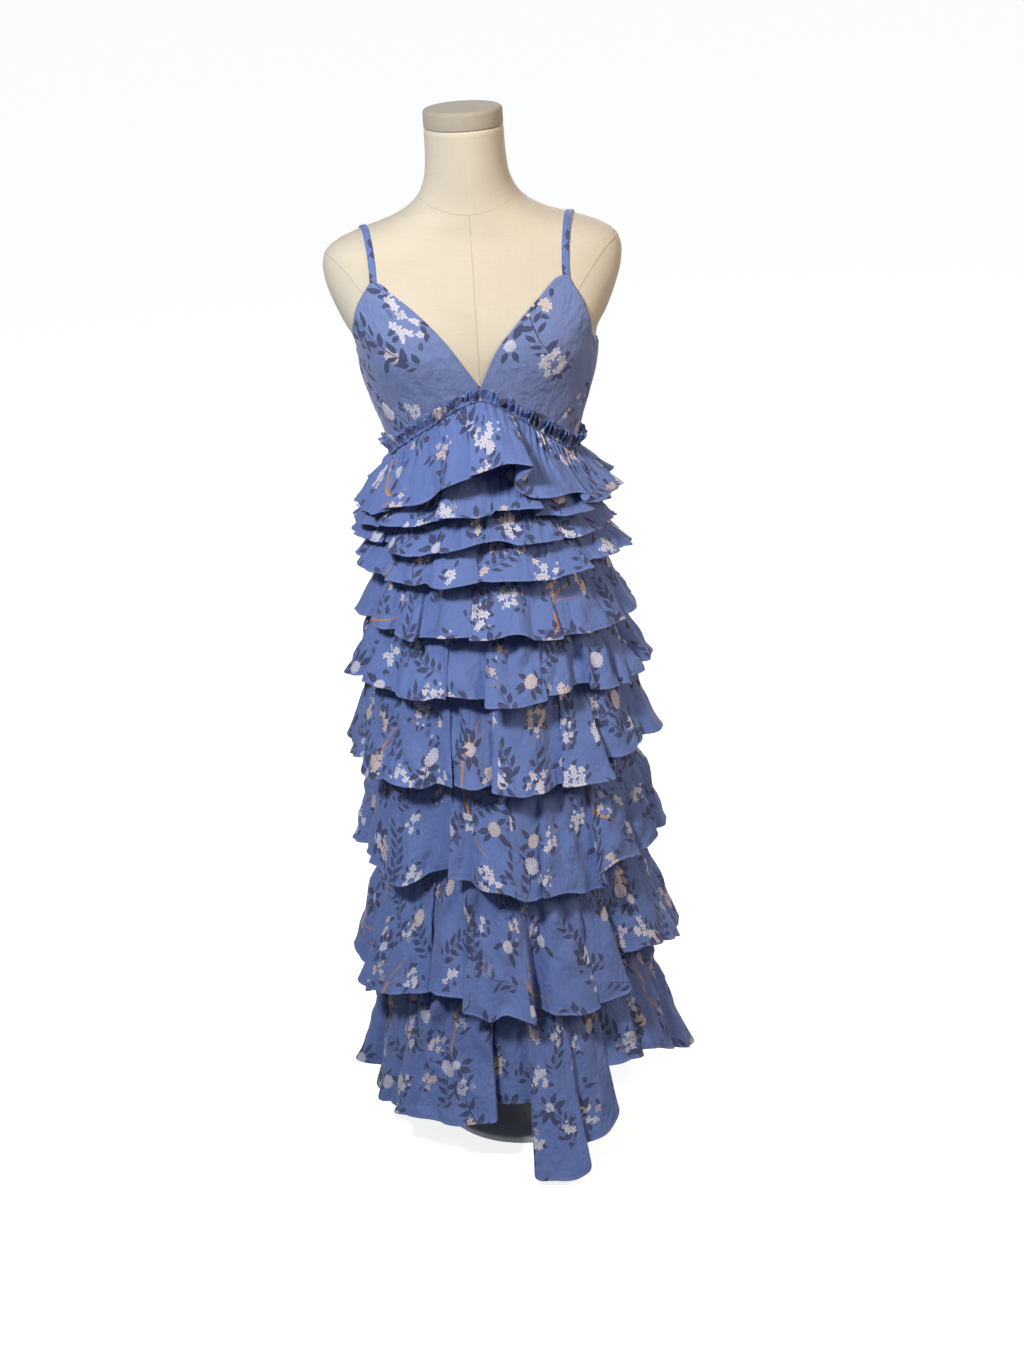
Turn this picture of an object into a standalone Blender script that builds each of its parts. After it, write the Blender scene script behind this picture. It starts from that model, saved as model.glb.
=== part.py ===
"""A sleeveless midi dress with ten ruffled tiers, worn by a limbless dress form on a stand.

Metres, +Z up. The front faces -Y, and angles round the figure run from 0 at centre front
through 90 at +X to 180 at centre back. The origin is on the floor, under the stand's centre.
"""

import math
from collections import namedtuple

import bmesh
import bpy
from mathutils import Vector

# Cloth and seams
WALL = 0.0015
SEAM_GAP = 0.0003
HALF_SEAM_ANGLE = 0.1
BODICE_EASE = 0.0025
STRAP_EASE = 0.0008

# Stand
BASE_RADIUS = 0.125
BASE_THICKNESS = 0.010
BASE_EDGE = 0.003
POLE_RADIUS = 0.016

# Neck cap of the dress form
CAP_RADIUS = 0.0505
CAP_HEIGHT = 0.0250
CAP_EDGE = 0.005
CAP_CENTRE = -0.008

# Bust of the dress form
BUST_ANGLE = 36.0
BUST_HEIGHT = 1.170
BUST_RISE = 0.022
BUST_SPREAD_ANGLE = 19.0
BUST_SPREAD_UP = 0.042
BUST_SPREAD_DOWN = 0.036

# Edges of the bodice. The dress is pulled a little round the form, so its sides differ: each row
# is how far round from centre front, then the height there.
SIDES = (("right", 1), ("left", -1))
EdgePlace = namedtuple("EdgePlace", "turn height")
TOP_EDGE = {
    "right": (
        EdgePlace(0.0, 1.1245),
        EdgePlace(3.0, 1.1485),
        EdgePlace(6.6, 1.1725),
        EdgePlace(13.4, 1.2022),
        EdgePlace(21.2, 1.2295),
        EdgePlace(31.7, 1.2560),
        EdgePlace(34.7, 1.2560),
        EdgePlace(37.2, 1.2455),
        EdgePlace(42.4, 1.2287),
        EdgePlace(46.4, 1.2130),
        EdgePlace(50.2, 1.1985),
        EdgePlace(57.4, 1.1802),
        EdgePlace(70.0, 1.1640),
        EdgePlace(90.0, 1.1540),
        EdgePlace(180.0, 1.1500),
    ),
    "left": (
        EdgePlace(0.0, 1.1245),
        EdgePlace(5.0, 1.1505),
        EdgePlace(8.0, 1.1670),
        EdgePlace(14.0, 1.1990),
        EdgePlace(20.8, 1.2245),
        EdgePlace(28.0, 1.2435),
        EdgePlace(35.4, 1.2600),
        EdgePlace(38.4, 1.2600),
        EdgePlace(43.6, 1.2475),
        EdgePlace(48.4, 1.2347),
        EdgePlace(52.6, 1.2218),
        EdgePlace(57.4, 1.2066),
        EdgePlace(63.2, 1.1930),
        EdgePlace(75.0, 1.1740),
        EdgePlace(90.0, 1.1600),
        EdgePlace(180.0, 1.1500),
    ),
}
# The short level length of the top edge that each strap stands on.
STRAP_SEAT = {"right": (31.7, 34.7), "left": (35.4, 38.4)}
SIDE_ANGLE = 90.0
PRINCESS_FOOT_ANGLE = 38.0
PRINCESS_TOP_ANGLE = 87.5
CUP_EDGE_POINTS = 7
SIDE_POINTS = 6
BACK_POINTS = 10
CUP_ROWS = 11
SIDE_ROWS = 7
BACK_ROWS = 5

# Empire seam, which rises to a point at centre front
EMPIRE_SEAM = {
    "right": (
        EdgePlace(0.0, 1.1110),
        EdgePlace(4.2, 1.1050),
        EdgePlace(11.6, 1.0920),
        EdgePlace(20.2, 1.0780),
        EdgePlace(31.8, 1.0592),
        EdgePlace(44.8, 1.0418),
        EdgePlace(62.4, 1.0235),
        EdgePlace(90.0, 1.0170),
        EdgePlace(180.0, 1.0200),
    ),
    "left": (
        EdgePlace(0.0, 1.1110),
        EdgePlace(5.8, 1.1060),
        EdgePlace(14.4, 1.0948),
        EdgePlace(23.4, 1.0809),
        EdgePlace(36.2, 1.0653),
        EdgePlace(53.4, 1.0454),
        EdgePlace(83.8, 1.0220),
        EdgePlace(110.0, 1.0200),
        EdgePlace(180.0, 1.0200),
    ),
}

# Straps
STRAP_WIDTH = 0.0095
STRAP_FRONT_X = {"left": 0.1260, "right": 0.1165}
STRAP_SHOULDER_X = {"left": 0.141, "right": 0.132}
STRAP_BACK_X = 0.088
STRAP_STEPS = 26
# The strap's path is read outwards from this y and z inside the chest.
STRAP_CORE = (0.008, 1.215)
STRAP_REACH = 0.30
STRAP_NORMAL_STEP = 0.004
STRAP_END_GAP = 0.0006
STRAP_BACK_EDGE = 1.1520

# Gathered heading over the empire seam
HEADING_GATHERS = 44
HEADING_POINTS = 3
HEADING_RISE = 0.014
HEADING_DROP = 0.0015
HEADING_WAVE = 0.0028
HEADING_CLEARANCE = 0.0006

# Skirt foundation, which carries the tiers
FOUNDATION_HEM = 0.270
FOUNDATION_BLEND = (0.985, 1.035)

# Ruffles
WAVE_SHARPNESS = 0.25
WAVE_SWAY = 0.30
WAVE_GROWTH = 1.30
FLARE_GROWTH = 1.20
POINTS_PER_WAVE = 5
LONG_RUFFLE_ROWS = (0.0, 0.42, 1.0)
SHORT_RUFFLE_ROWS = (0.0, 1.0)
LONG_RUFFLE = 0.070
RUFFLE_CLEARANCE = 0.0045
# How unlike a ruffle's folds are: in spacing, by these waves round it, and in depth, by these.
UNEVEN_SPACING = ((3, 1.0, 1.0), (5, 0.6, 2.1))
UNEVEN_DEPTH = ((2, 0.22, 1.0), (7, 0.15, -1.0))
FIRST_RUFFLE_DROP = 0.0035
FRONT_LIFT_SHAPE = 3.0

FormSection = namedtuple("FormSection", "height half_width half_depth centre squareness")
FORM_SECTIONS = (
    FormSection(0.5850, 0.1480, 0.0980, 0.004, 2.30),
    FormSection(0.6050, 0.1570, 0.1050, 0.004, 2.30),
    FormSection(0.6650, 0.1630, 0.1100, 0.005, 2.30),
    FormSection(0.7450, 0.1620, 0.1100, 0.005, 2.25),
    FormSection(0.8250, 0.1460, 0.1000, 0.003, 2.20),
    FormSection(0.8950, 0.1240, 0.0880, 0.000, 2.10),
    FormSection(0.9500, 0.1140, 0.0800, -0.002, 2.10),
    FormSection(1.0050, 0.1170, 0.0810, -0.003, 2.10),
    FormSection(1.0550, 0.1290, 0.0860, -0.003, 2.15),
    FormSection(1.0950, 0.1420, 0.0910, -0.002, 2.20),
    FormSection(1.1350, 0.1520, 0.0950, 0.000, 2.20),
    FormSection(1.1700, 0.1555, 0.0970, 0.002, 2.25),
    FormSection(1.2000, 0.1715, 0.0960, 0.004, 2.30),
    FormSection(1.2300, 0.1845, 0.0920, 0.006, 2.30),
    FormSection(1.2550, 0.1920, 0.0860, 0.008, 2.30),
    FormSection(1.2710, 0.1935, 0.0810, 0.009, 2.30),
    FormSection(1.2870, 0.1895, 0.0750, 0.010, 2.30),
    FormSection(1.2980, 0.1785, 0.0710, 0.011, 2.20),
    FormSection(1.3070, 0.1605, 0.0680, 0.011, 2.10),
    FormSection(1.3150, 0.1390, 0.0660, 0.010, 2.00),
    FormSection(1.3220, 0.1150, 0.0640, 0.009, 2.00),
    FormSection(1.3310, 0.0930, 0.0620, 0.008, 2.00),
    FormSection(1.3430, 0.0745, 0.0590, 0.006, 2.00),
    FormSection(1.3600, 0.0610, 0.0550, 0.002, 2.00),
    FormSection(1.3850, 0.0530, 0.0520, -0.003, 2.00),
    FormSection(1.4150, 0.0508, 0.0508, -0.006, 2.00),
    FormSection(1.4395, 0.0505, 0.0505, -0.008, 2.00),
)
FORM_POINTS = 32
# Rings between the rows, where the outline turns quickly.
FORM_EXTRA_RINGS = (0.595, 1.152, 1.185)

SkirtSection = namedtuple("SkirtSection", "height half_width half_depth centre squareness")
FOUNDATION_SECTIONS = (
    SkirtSection(0.270, 0.178, 0.150, 0.000, 2.00),
    SkirtSection(0.450, 0.173, 0.141, 0.001, 2.10),
    SkirtSection(0.600, 0.171, 0.130, 0.003, 2.20),
    SkirtSection(0.745, 0.169, 0.119, 0.004, 2.25),
    SkirtSection(0.825, 0.156, 0.110, 0.003, 2.20),
    SkirtSection(0.895, 0.138, 0.100, 0.000, 2.10),
    SkirtSection(0.960, 0.128, 0.092, -0.002, 2.10),
    SkirtSection(1.020, 0.125, 0.089, -0.003, 2.10),
)

# seam and hem are heights at the sides, and each lift is how much higher they are at centre
# front. side_reach and front_reach are how far the crests stand out at the hem.
Tier = namedtuple(
    "Tier",
    "seam seam_lift hem hem_lift side_reach front_reach waves wave_depth phase unevenness",
)
TIERS = (
    Tier(1.0280, 0.094, 0.955, 0.033, 0.180, 0.152, 12, 0.0090, 10.0, 0.5),
    Tier(0.9950, 0.040, 0.930, 0.035, 0.176, 0.149, 12, 0.0080, 31.0, 0.4),
    Tier(0.9620, 0.022, 0.909, 0.018, 0.174, 0.147, 12, 0.0085, 4.0, 0.5),
    Tier(0.9380, 0.006, 0.873, 0.004, 0.187, 0.157, 14, 0.0100, 21.0, 0.4),
    Tier(0.8930, 0.000, 0.795, 0.002, 0.194, 0.164, 18, 0.0110, -8.0, 0.5),
    Tier(0.8150, 0.000, 0.714, 0.002, 0.211, 0.175, 18, 0.0145, 13.0, 0.4),
    Tier(0.7380, 0.000, 0.588, 0.000, 0.221, 0.187, 16, 0.0170, -4.0, 0.5),
    Tier(0.6220, 0.000, 0.440, 0.000, 0.223, 0.193, 16, 0.0180, 8.0, 0.4),
    Tier(0.4700, 0.000, 0.265, 0.000, 0.245, 0.207, 18, 0.0220, 5.0, 0.5),
    Tier(0.3000, 0.000, 0.080, 0.000, 0.245, 0.214, 16, 0.0260, -14.0, 0.4),
)

# The largest single folds. tier counts from the top, and drop is how far the hem hangs lower.
Fold = namedtuple("Fold", "tier angle spread out drop")
FOLDS = (
    Fold(1, 0.0, 14.0, 0.016, -0.040),
    Fold(1, 17.0, 5.0, 0.006, -0.014),
    Fold(1, -52.0, 8.0, 0.004, -0.012),
    Fold(2, -90.0, 30.0, 0.009, 0.000),
    Fold(2, 90.0, 30.0, -0.006, 0.000),
    Fold(3, -90.0, 30.0, 0.014, 0.006),
    Fold(3, 90.0, 30.0, -0.009, 0.000),
    Fold(7, -21.0, 4.0, -0.012, -0.006),
    Fold(7, 17.0, 5.0, -0.010, 0.000),
    Fold(8, -29.0, 6.0, -0.012, -0.018),
    Fold(8, 5.0, 7.0, 0.006, 0.010),
    Fold(8, 31.0, 6.0, 0.010, 0.022),
    Fold(9, -14.0, 7.0, 0.006, 0.010),
    Fold(9, 4.0, 5.0, 0.006, 0.018),
    Fold(9, 46.0, 9.0, -0.012, -0.022),
    Fold(10, -66.0, 14.0, -0.010, 0.030),
    Fold(10, -4.0, 5.0, -0.022, -0.034),
    Fold(10, 10.0, 6.5, 0.040, 0.070),
    Fold(10, 25.0, 6.0, 0.012, 0.034),
    Fold(10, 38.0, 6.0, -0.022, -0.020),
    Fold(10, 57.0, 14.0, -0.012, -0.040),
)

# Colours: base colour, roughness
BLUE_COTTON = ("blue_cotton", (0.150, 0.225, 0.530, 1.0), 0.80)
CREAM_LINEN = ("cream_linen", (0.760, 0.690, 0.560, 1.0), 0.85)
WHITE_ENAMEL = ("white_enamel", (0.860, 0.860, 0.840, 1.0), 0.35)


def smooth_column(rows, column, place, key="height"):
    """A table's column read at a place in its key column, on a smooth curve through its rows."""
    places = [getattr(row, key) for row in rows]
    values = [getattr(row, column) for row in rows]
    if place <= places[0]:
        return values[0]
    if place >= places[-1]:
        return values[-1]
    low = next(i for i in range(len(rows) - 1) if place <= places[i + 1])

    def slope(i):
        return (values[i + 1] - values[i]) / (places[i + 1] - places[i])

    def tangent(i):
        if i == 0:
            return slope(0)
        if i == len(rows) - 1:
            return slope(i - 1)
        before, after = slope(i - 1), slope(i)
        return 0.0 if before * after <= 0 else 2 * before * after / (before + after)

    step = places[low + 1] - places[low]
    t = (place - places[low]) / step
    start, end = values[low], values[low + 1]
    return (
        start * (1 + 2 * t) * (1 - t) ** 2
        + end * t * t * (3 - 2 * t)
        + step * t * (1 - t) * (tangent(low) * (1 - t) - tangent(low + 1) * t)
    )


def smooth_step(low, high, value):
    t = min(max((value - low) / (high - low), 0.0), 1.0)
    return t * t * (3 - 2 * t)


def signed_angle(angle):
    """The angle from centre front, from -180 to 180."""
    return (angle + 180.0) % 360.0 - 180.0


def front_share(angle, shape):
    """1 at centre front, falling to 0 at the sides and the back."""
    return max(math.cos(math.radians(angle)), 0.0) ** shape


def section_point(rows, angle, height, out):
    """A point on a table's section at that angle, moved out along the section's own normal."""
    half_width = smooth_column(rows, "half_width", height)
    half_depth = smooth_column(rows, "half_depth", height)
    centre = smooth_column(rows, "centre", height)
    power = 2.0 / smooth_column(rows, "squareness", height)
    sine, cosine = math.sin(math.radians(angle)), math.cos(math.radians(angle))
    x = half_width * math.copysign(abs(sine) ** power, sine)
    y = centre - half_depth * math.copysign(abs(cosine) ** power, cosine)
    normal = Vector(
        (
            math.copysign(abs(sine) ** (2 - power), sine) / half_width,
            -math.copysign(abs(cosine) ** (2 - power), cosine) / half_depth,
            0.0,
        )
    ).normalized()
    return Vector((x, y, height)) + normal * out


def bust(angle, height):
    """How far the bust stands out from the form's section."""
    spread = BUST_SPREAD_UP if height > BUST_HEIGHT else BUST_SPREAD_DOWN
    up = (height - BUST_HEIGHT) / spread
    total = 0.0
    for side in (-BUST_ANGLE, BUST_ANGLE):
        across = signed_angle(angle - side) / BUST_SPREAD_ANGLE
        total += BUST_RISE * math.exp(-0.5 * (across * across + up * up))
    return total


def form_point(angle, height, out=0.0):
    return section_point(FORM_SECTIONS, angle, height, bust(angle, height) + out)


def edge_height(edge, angle):
    """The height at an angle of an edge that has its own rows for each side."""
    turn = signed_angle(angle)
    return smooth_column(edge["left" if turn < 0 else "right"], "height", abs(turn), "turn")


def empire_seam(angle):
    return edge_height(EMPIRE_SEAM, angle)


def cloth_point(angle, height, out=0.0):
    """The outer face of the bodice and, below it, of the skirt foundation."""
    fitted = form_point(angle, height, BODICE_EASE + WALL + out)
    hanging = section_point(FOUNDATION_SECTIONS, angle, height, out)
    share = smooth_step(*FOUNDATION_BLEND, height)
    return hanging.lerp(fitted, share)


def bodice_top(angle):
    """The height of the bodice's top edge: the V, the strap seats, the armholes and the back."""
    return edge_height(TOP_EDGE, angle)


def new_object(name, mesh, finish, collection):
    thing = bpy.data.objects.new(name, mesh)
    collection.objects.link(thing)
    slot, colour, roughness = finish
    material = bpy.data.materials.get(slot) or bpy.data.materials.new(slot)
    material.use_nodes = True
    shader = material.node_tree.nodes["Principled BSDF"]
    shader.inputs["Base Color"].default_value = colour
    shader.inputs["Roughness"].default_value = roughness
    mesh.materials.append(material)
    mesh.shade_smooth()
    return thing


def grid_mesh(name, rows, ring):
    """A surface through rows of points, closed into a ring where ring is true."""
    shape = bmesh.new()
    made = [[shape.verts.new(point) for point in row] for row in rows]
    count = len(rows[0])
    for lower, upper in zip(made, made[1:]):
        for i in range(count if ring else count - 1):
            j = (i + 1) % count
            shape.faces.new((lower[i], lower[j], upper[j], upper[i]))
    mesh = bpy.data.meshes.new(name)
    shape.to_mesh(mesh)
    shape.free()
    return mesh


def hanging_wall(name, rows, finish, collection):
    """Closed rows of inner-face points, lowest first, given the cloth's thickness outwards."""
    thing = new_object(name, grid_mesh(name, rows, True), finish, collection)
    solidify = thing.modifiers.new("thickness", "SOLIDIFY")
    solidify.thickness = WALL
    solidify.offset = 1


def fitted_wall(name, inner, outer, ring, finish, collection):
    """A wall between an inner and an outer surface, each as rows of points, lowest first."""
    shape = bmesh.new()
    faces = [[[shape.verts.new(point) for point in row] for row in rows] for rows in (inner, outer)]
    count = len(inner[0])
    across = count if ring else count - 1
    for row in range(len(inner) - 1):
        for i in range(across):
            j = (i + 1) % count
            for layer in faces:
                shape.faces.new((layer[row][i], layer[row][j], layer[row + 1][j], layer[row + 1][i]))
    for row in (0, -1):
        for i in range(across):
            j = (i + 1) % count
            near, far = faces[0][row], faces[1][row]
            shape.faces.new((near[i], near[j], far[j], far[i]))
    if not ring:
        for row in range(len(inner) - 1):
            for i in (0, -1):
                near, far = faces
                shape.faces.new((near[row][i], near[row + 1][i], far[row + 1][i], far[row][i]))
    bmesh.ops.recalc_face_normals(shape, faces=shape.faces)
    mesh = bpy.data.meshes.new(name)
    shape.to_mesh(mesh)
    shape.free()
    return new_object(name, mesh, finish, collection)


def lofted_solid(name, rings, finish, collection):
    """A closed solid through rings of points, lowest first, with flat ends."""
    mesh = grid_mesh(name, rings, True)
    shape = bmesh.new()
    shape.from_mesh(mesh)
    bmesh.ops.holes_fill(shape, edges=[edge for edge in shape.edges if edge.is_boundary])
    bmesh.ops.recalc_face_normals(shape, faces=shape.faces)
    shape.to_mesh(mesh)
    shape.free()
    return new_object(name, mesh, finish, collection)


def full_turn(count):
    return [360.0 * i / count for i in range(count)]


def build_form(collection):
    heights = sorted([row.height for row in FORM_SECTIONS] + list(FORM_EXTRA_RINGS))
    rings = [[form_point(a, z) for a in full_turn(FORM_POINTS)] for z in heights]
    lofted_solid("form_torso", rings, CREAM_LINEN, collection)


def build_round(name, radius, low, high, edge, centre, finish, collection):
    """A disc or pole with a rounded top edge."""
    shape = bmesh.new()
    bmesh.ops.create_cone(
        shape, cap_ends=True, segments=32, radius1=radius, radius2=radius, depth=high - low
    )
    bmesh.ops.translate(shape, verts=shape.verts, vec=(0.0, centre, (low + high) / 2))
    if edge:
        rim = [e for e in shape.edges if all(v.co.z > high - 1e-6 for v in e.verts)]
        bmesh.ops.bevel(shape, geom=rim, offset=edge, segments=2, affect="EDGES", profile=0.5)
    mesh = bpy.data.meshes.new(name)
    shape.to_mesh(mesh)
    shape.free()
    new_object(name, mesh, finish, collection)


def build_stand(collection):
    build_round(
        "stand_base", BASE_RADIUS, 0.0, BASE_THICKNESS, BASE_EDGE, 0.0, WHITE_ENAMEL, collection
    )
    pole_foot = BASE_THICKNESS + SEAM_GAP
    pole_head = FORM_SECTIONS[0].height - SEAM_GAP
    build_round("stand_pole", POLE_RADIUS, pole_foot, pole_head, 0.0, 0.0, WHITE_ENAMEL, collection)
    cap_foot = FORM_SECTIONS[-1].height + SEAM_GAP
    cap_head = cap_foot + CAP_HEIGHT
    build_round(
        "form_neck_cap", CAP_RADIUS, cap_foot, cap_head, CAP_EDGE, CAP_CENTRE, CREAM_LINEN, collection
    )


def panel_rows(feet, heads, count, out):
    """Rows from a lower edge to an upper edge, both lists of (angle, height), off the form."""
    rows = []
    for i in range(count):
        t = i / (count - 1)
        row = []
        for (foot_angle, foot), (head_angle, head) in zip(feet, heads):
            angle = foot_angle + (head_angle - foot_angle) * t
            row.append(form_point(angle, foot + (head - foot) * t, out))
        rows.append(row)
    return rows


def spaced(low, high, count):
    return [low + (high - low) * i / (count - 1) for i in range(count)]


def bodice_panel(name, foot_angles, head_angles, rows, mirror, collection):
    """One cut piece of the bodice, between the empire seam and the top edge."""
    feet = [(mirror * a, empire_seam(mirror * a) + SEAM_GAP / 2) for a in foot_angles]
    heads = [(mirror * a, bodice_top(mirror * a)) for a in head_angles]
    if mirror < 0:
        feet.reverse()
        heads.reverse()
    inner = panel_rows(feet, heads, rows, BODICE_EASE)
    outer = panel_rows(feet, heads, rows, BODICE_EASE + WALL)
    fitted_wall(name, inner, outer, False, BLUE_COTTON, collection)


def panels(side):
    """(name, angles along the empire seam, angles along the top edge, rows) for one side."""
    gap = HALF_SEAM_ANGLE
    before, after = STRAP_SEAT[side]
    v_edge = spaced(gap, before, CUP_EDGE_POINTS)
    cup_heads = v_edge + spaced(after, PRINCESS_TOP_ANGLE - gap, CUP_EDGE_POINTS)
    reach = (PRINCESS_FOOT_ANGLE - 2 * gap) / (PRINCESS_TOP_ANGLE - 2 * gap)
    cup_feet = [gap + (a - gap) * reach for a in cup_heads]
    side_feet = spaced(PRINCESS_FOOT_ANGLE + gap, SIDE_ANGLE - gap, SIDE_POINTS)
    side_heads = spaced(PRINCESS_TOP_ANGLE + gap, SIDE_ANGLE - gap, SIDE_POINTS)
    back = spaced(SIDE_ANGLE + gap, 180.0 - gap, BACK_POINTS)
    return (
        ("cup", cup_feet, cup_heads, CUP_ROWS),
        ("side_panel", side_feet, side_heads, SIDE_ROWS),
        ("back", back, back, BACK_ROWS),
    )


def seam_angles():
    """Every panel corner along the empire seam, all round, with each seam counted once."""
    gap = HALF_SEAM_ANGLE
    seams = (0.0, PRINCESS_FOOT_ANGLE, SIDE_ANGLE, 180.0)
    found = set()
    for side, mirror in SIDES:
        feet = [angle for _, panel, _, _ in panels(side) for angle in panel]
        feet = [a for a in feet if all(abs(a - seam) > 2 * gap for seam in seams)] + list(seams)
        found.update((mirror * a) % 360.0 for a in feet)
    return sorted(found)


def build_bodice(collection):
    for side, mirror in SIDES:
        for panel, feet, heads, rows in panels(side):
            bodice_panel(f"{panel}_{side}", feet, heads, rows, mirror, collection)


def form_level(x, y, z):
    """Under 1 inside the form's sections, 1 on them and over 1 outside."""
    half_width = smooth_column(FORM_SECTIONS, "half_width", z)
    half_depth = smooth_column(FORM_SECTIONS, "half_depth", z)
    centre = smooth_column(FORM_SECTIONS, "centre", z)
    power = smooth_column(FORM_SECTIONS, "squareness", z)
    return abs(x / half_width) ** power + abs((y - centre) / half_depth) ** power


def form_normal(point):
    """The direction straight out of the form at a point of its surface."""
    x, y, z = point
    step = STRAP_NORMAL_STEP
    return Vector(
        (
            form_level(x + step, y, z) - form_level(x - step, y, z),
            form_level(x, y + step, z) - form_level(x, y - step, z),
            form_level(x, y, z + step) - form_level(x, y, z - step),
        )
    ).normalized()


def form_reach(x, direction):
    """The form's surface in the plane at x, from the strap's core point along a direction."""
    core_y, core_z = STRAP_CORE
    low, high = 0.0, STRAP_REACH
    for _ in range(40):
        middle = (low + high) / 2
        y = core_y + middle * math.cos(direction)
        z = core_z + middle * math.sin(direction)
        if form_level(x, y, z) < 1:
            low = middle
        else:
            high = middle
    return Vector((x, core_y + low * math.cos(direction), core_z + low * math.sin(direction)))


def strap_path(side, mirror):
    """The strap's middle line on the form: up the chest, over the shoulder and down the back."""
    core_y, core_z = STRAP_CORE
    front_x, shoulder_x = STRAP_FRONT_X[side], STRAP_SHOULDER_X[side]
    seat = sum(STRAP_SEAT[side]) / 2
    front_foot = bodice_top(mirror * seat) + STRAP_END_GAP
    front_y = form_point(seat, front_foot).y
    front = math.atan2(front_foot - core_z, front_y - core_y)
    half_width = smooth_column(FORM_SECTIONS, "half_width", STRAP_BACK_EDGE)
    back_angle = 180.0 - math.degrees(math.asin(STRAP_BACK_X / half_width))
    back_edge = bodice_top(mirror * back_angle)
    back_y = form_point(back_angle, back_edge).y
    back = math.atan2(back_edge + STRAP_END_GAP - core_z, back_y - core_y)
    points = []
    for i in range(STRAP_STEPS + 1):
        t = i / STRAP_STEPS
        if t < 0.5:
            x = front_x + (shoulder_x - front_x) * smooth_step(0.0, 0.5, t)
        else:
            x = shoulder_x + (STRAP_BACK_X - shoulder_x) * smooth_step(0.5, 1.0, t)
        points.append(form_reach(x, front + (back - front) * t))
    points[0].z = front_foot
    points[-1].z = back_edge + STRAP_END_GAP
    return points


def build_straps(collection):
    for side, mirror in SIDES:
        path = strap_path(side, mirror)
        rings = []
        for i, point in enumerate(path):
            along = (path[min(i + 1, STRAP_STEPS)] - path[max(i - 1, 0)]).normalized()
            outward = form_normal(point)
            if i in (0, STRAP_STEPS):
                along = Vector((0.0, 0.0, math.copysign(1.0, along.z)))
            outward = (outward - along * outward.dot(along)).normalized()
            across = along.cross(outward).normalized()
            t = i / STRAP_STEPS
            lift = BODICE_EASE + (STRAP_EASE - BODICE_EASE) * min(3 * math.sin(math.pi * t), 1.0)
            corners = []
            for sideways, up in ((-0.5, 0.0), (0.5, 0.0), (0.5, 1.0), (-0.5, 1.0)):
                corner = point + across * (STRAP_WIDTH * sideways) + outward * (lift + WALL * up)
                corners.append((mirror * corner.x, corner.y, corner.z))
            rings.append(corners)
        lofted_solid(f"strap_{side}", rings, BLUE_COTTON, collection)


def build_heading(collection):
    """The narrow gathered frill that stands up over the empire seam."""
    faces = []
    for out in (0.0, WALL):
        low, high = [], []
        for i, angle in enumerate(full_turn(HEADING_GATHERS * HEADING_POINTS)):
            seam = empire_seam(angle)
            wave = HEADING_WAVE * (1 + math.cos(2 * math.pi * i / HEADING_POINTS)) / 2
            low.append(cloth_point(angle, seam - HEADING_DROP, HEADING_CLEARANCE + out))
            high.append(cloth_point(angle, seam + HEADING_RISE, HEADING_CLEARANCE + wave + out))
        faces.append([low, high])
    fitted_wall("ruched_heading", *faces, True, BLUE_COTTON, collection)


def build_foundation(collection):
    """The skirt that carries the tiers, with a row of points where each tier is sewn on."""
    faces = []
    for out in (-WALL, 0.0):
        rows = [[cloth_point(a, FOUNDATION_HEM, out) for a in seam_angles()]]
        for number, tier in reversed(list(enumerate(TIERS, start=1))):
            rows.append([cloth_point(a, tier_seam(number, tier, a), out) for a in seam_angles()])
        rows.append([cloth_point(a, empire_seam(a) - SEAM_GAP / 2, out) for a in seam_angles()])
        faces.append(rows)
    fitted_wall("skirt_foundation", *faces, True, BLUE_COTTON, collection)


def ripple(waves, tier, angle):
    """A sum of sines round the ruffle, each row being its count, its height and its shift."""
    turn = math.radians(angle)
    return sum(high * math.sin(count * turn + shift * tier.phase) for count, high, shift in waves)


def wave_angle(tier, angle):
    """The ruffle's own phase, in radians, run unevenly so that no two folds are alike."""
    uneven = tier.unevenness * ripple(UNEVEN_SPACING, tier, angle)
    return tier.waves * math.radians(angle - tier.phase) + math.pi + uneven


def tier_seam(number, tier, angle):
    if number == 1:
        return empire_seam(angle) - FIRST_RUFFLE_DROP
    return tier.seam + tier.seam_lift * front_share(angle, FRONT_LIFT_SHAPE)


def ruffle_steps(tier):
    """Where the ruffle's rows of points lie, from 0 at its seam to 1 at its hem."""
    return LONG_RUFFLE_ROWS if tier.seam - tier.hem > LONG_RUFFLE else SHORT_RUFFLE_ROWS


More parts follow.
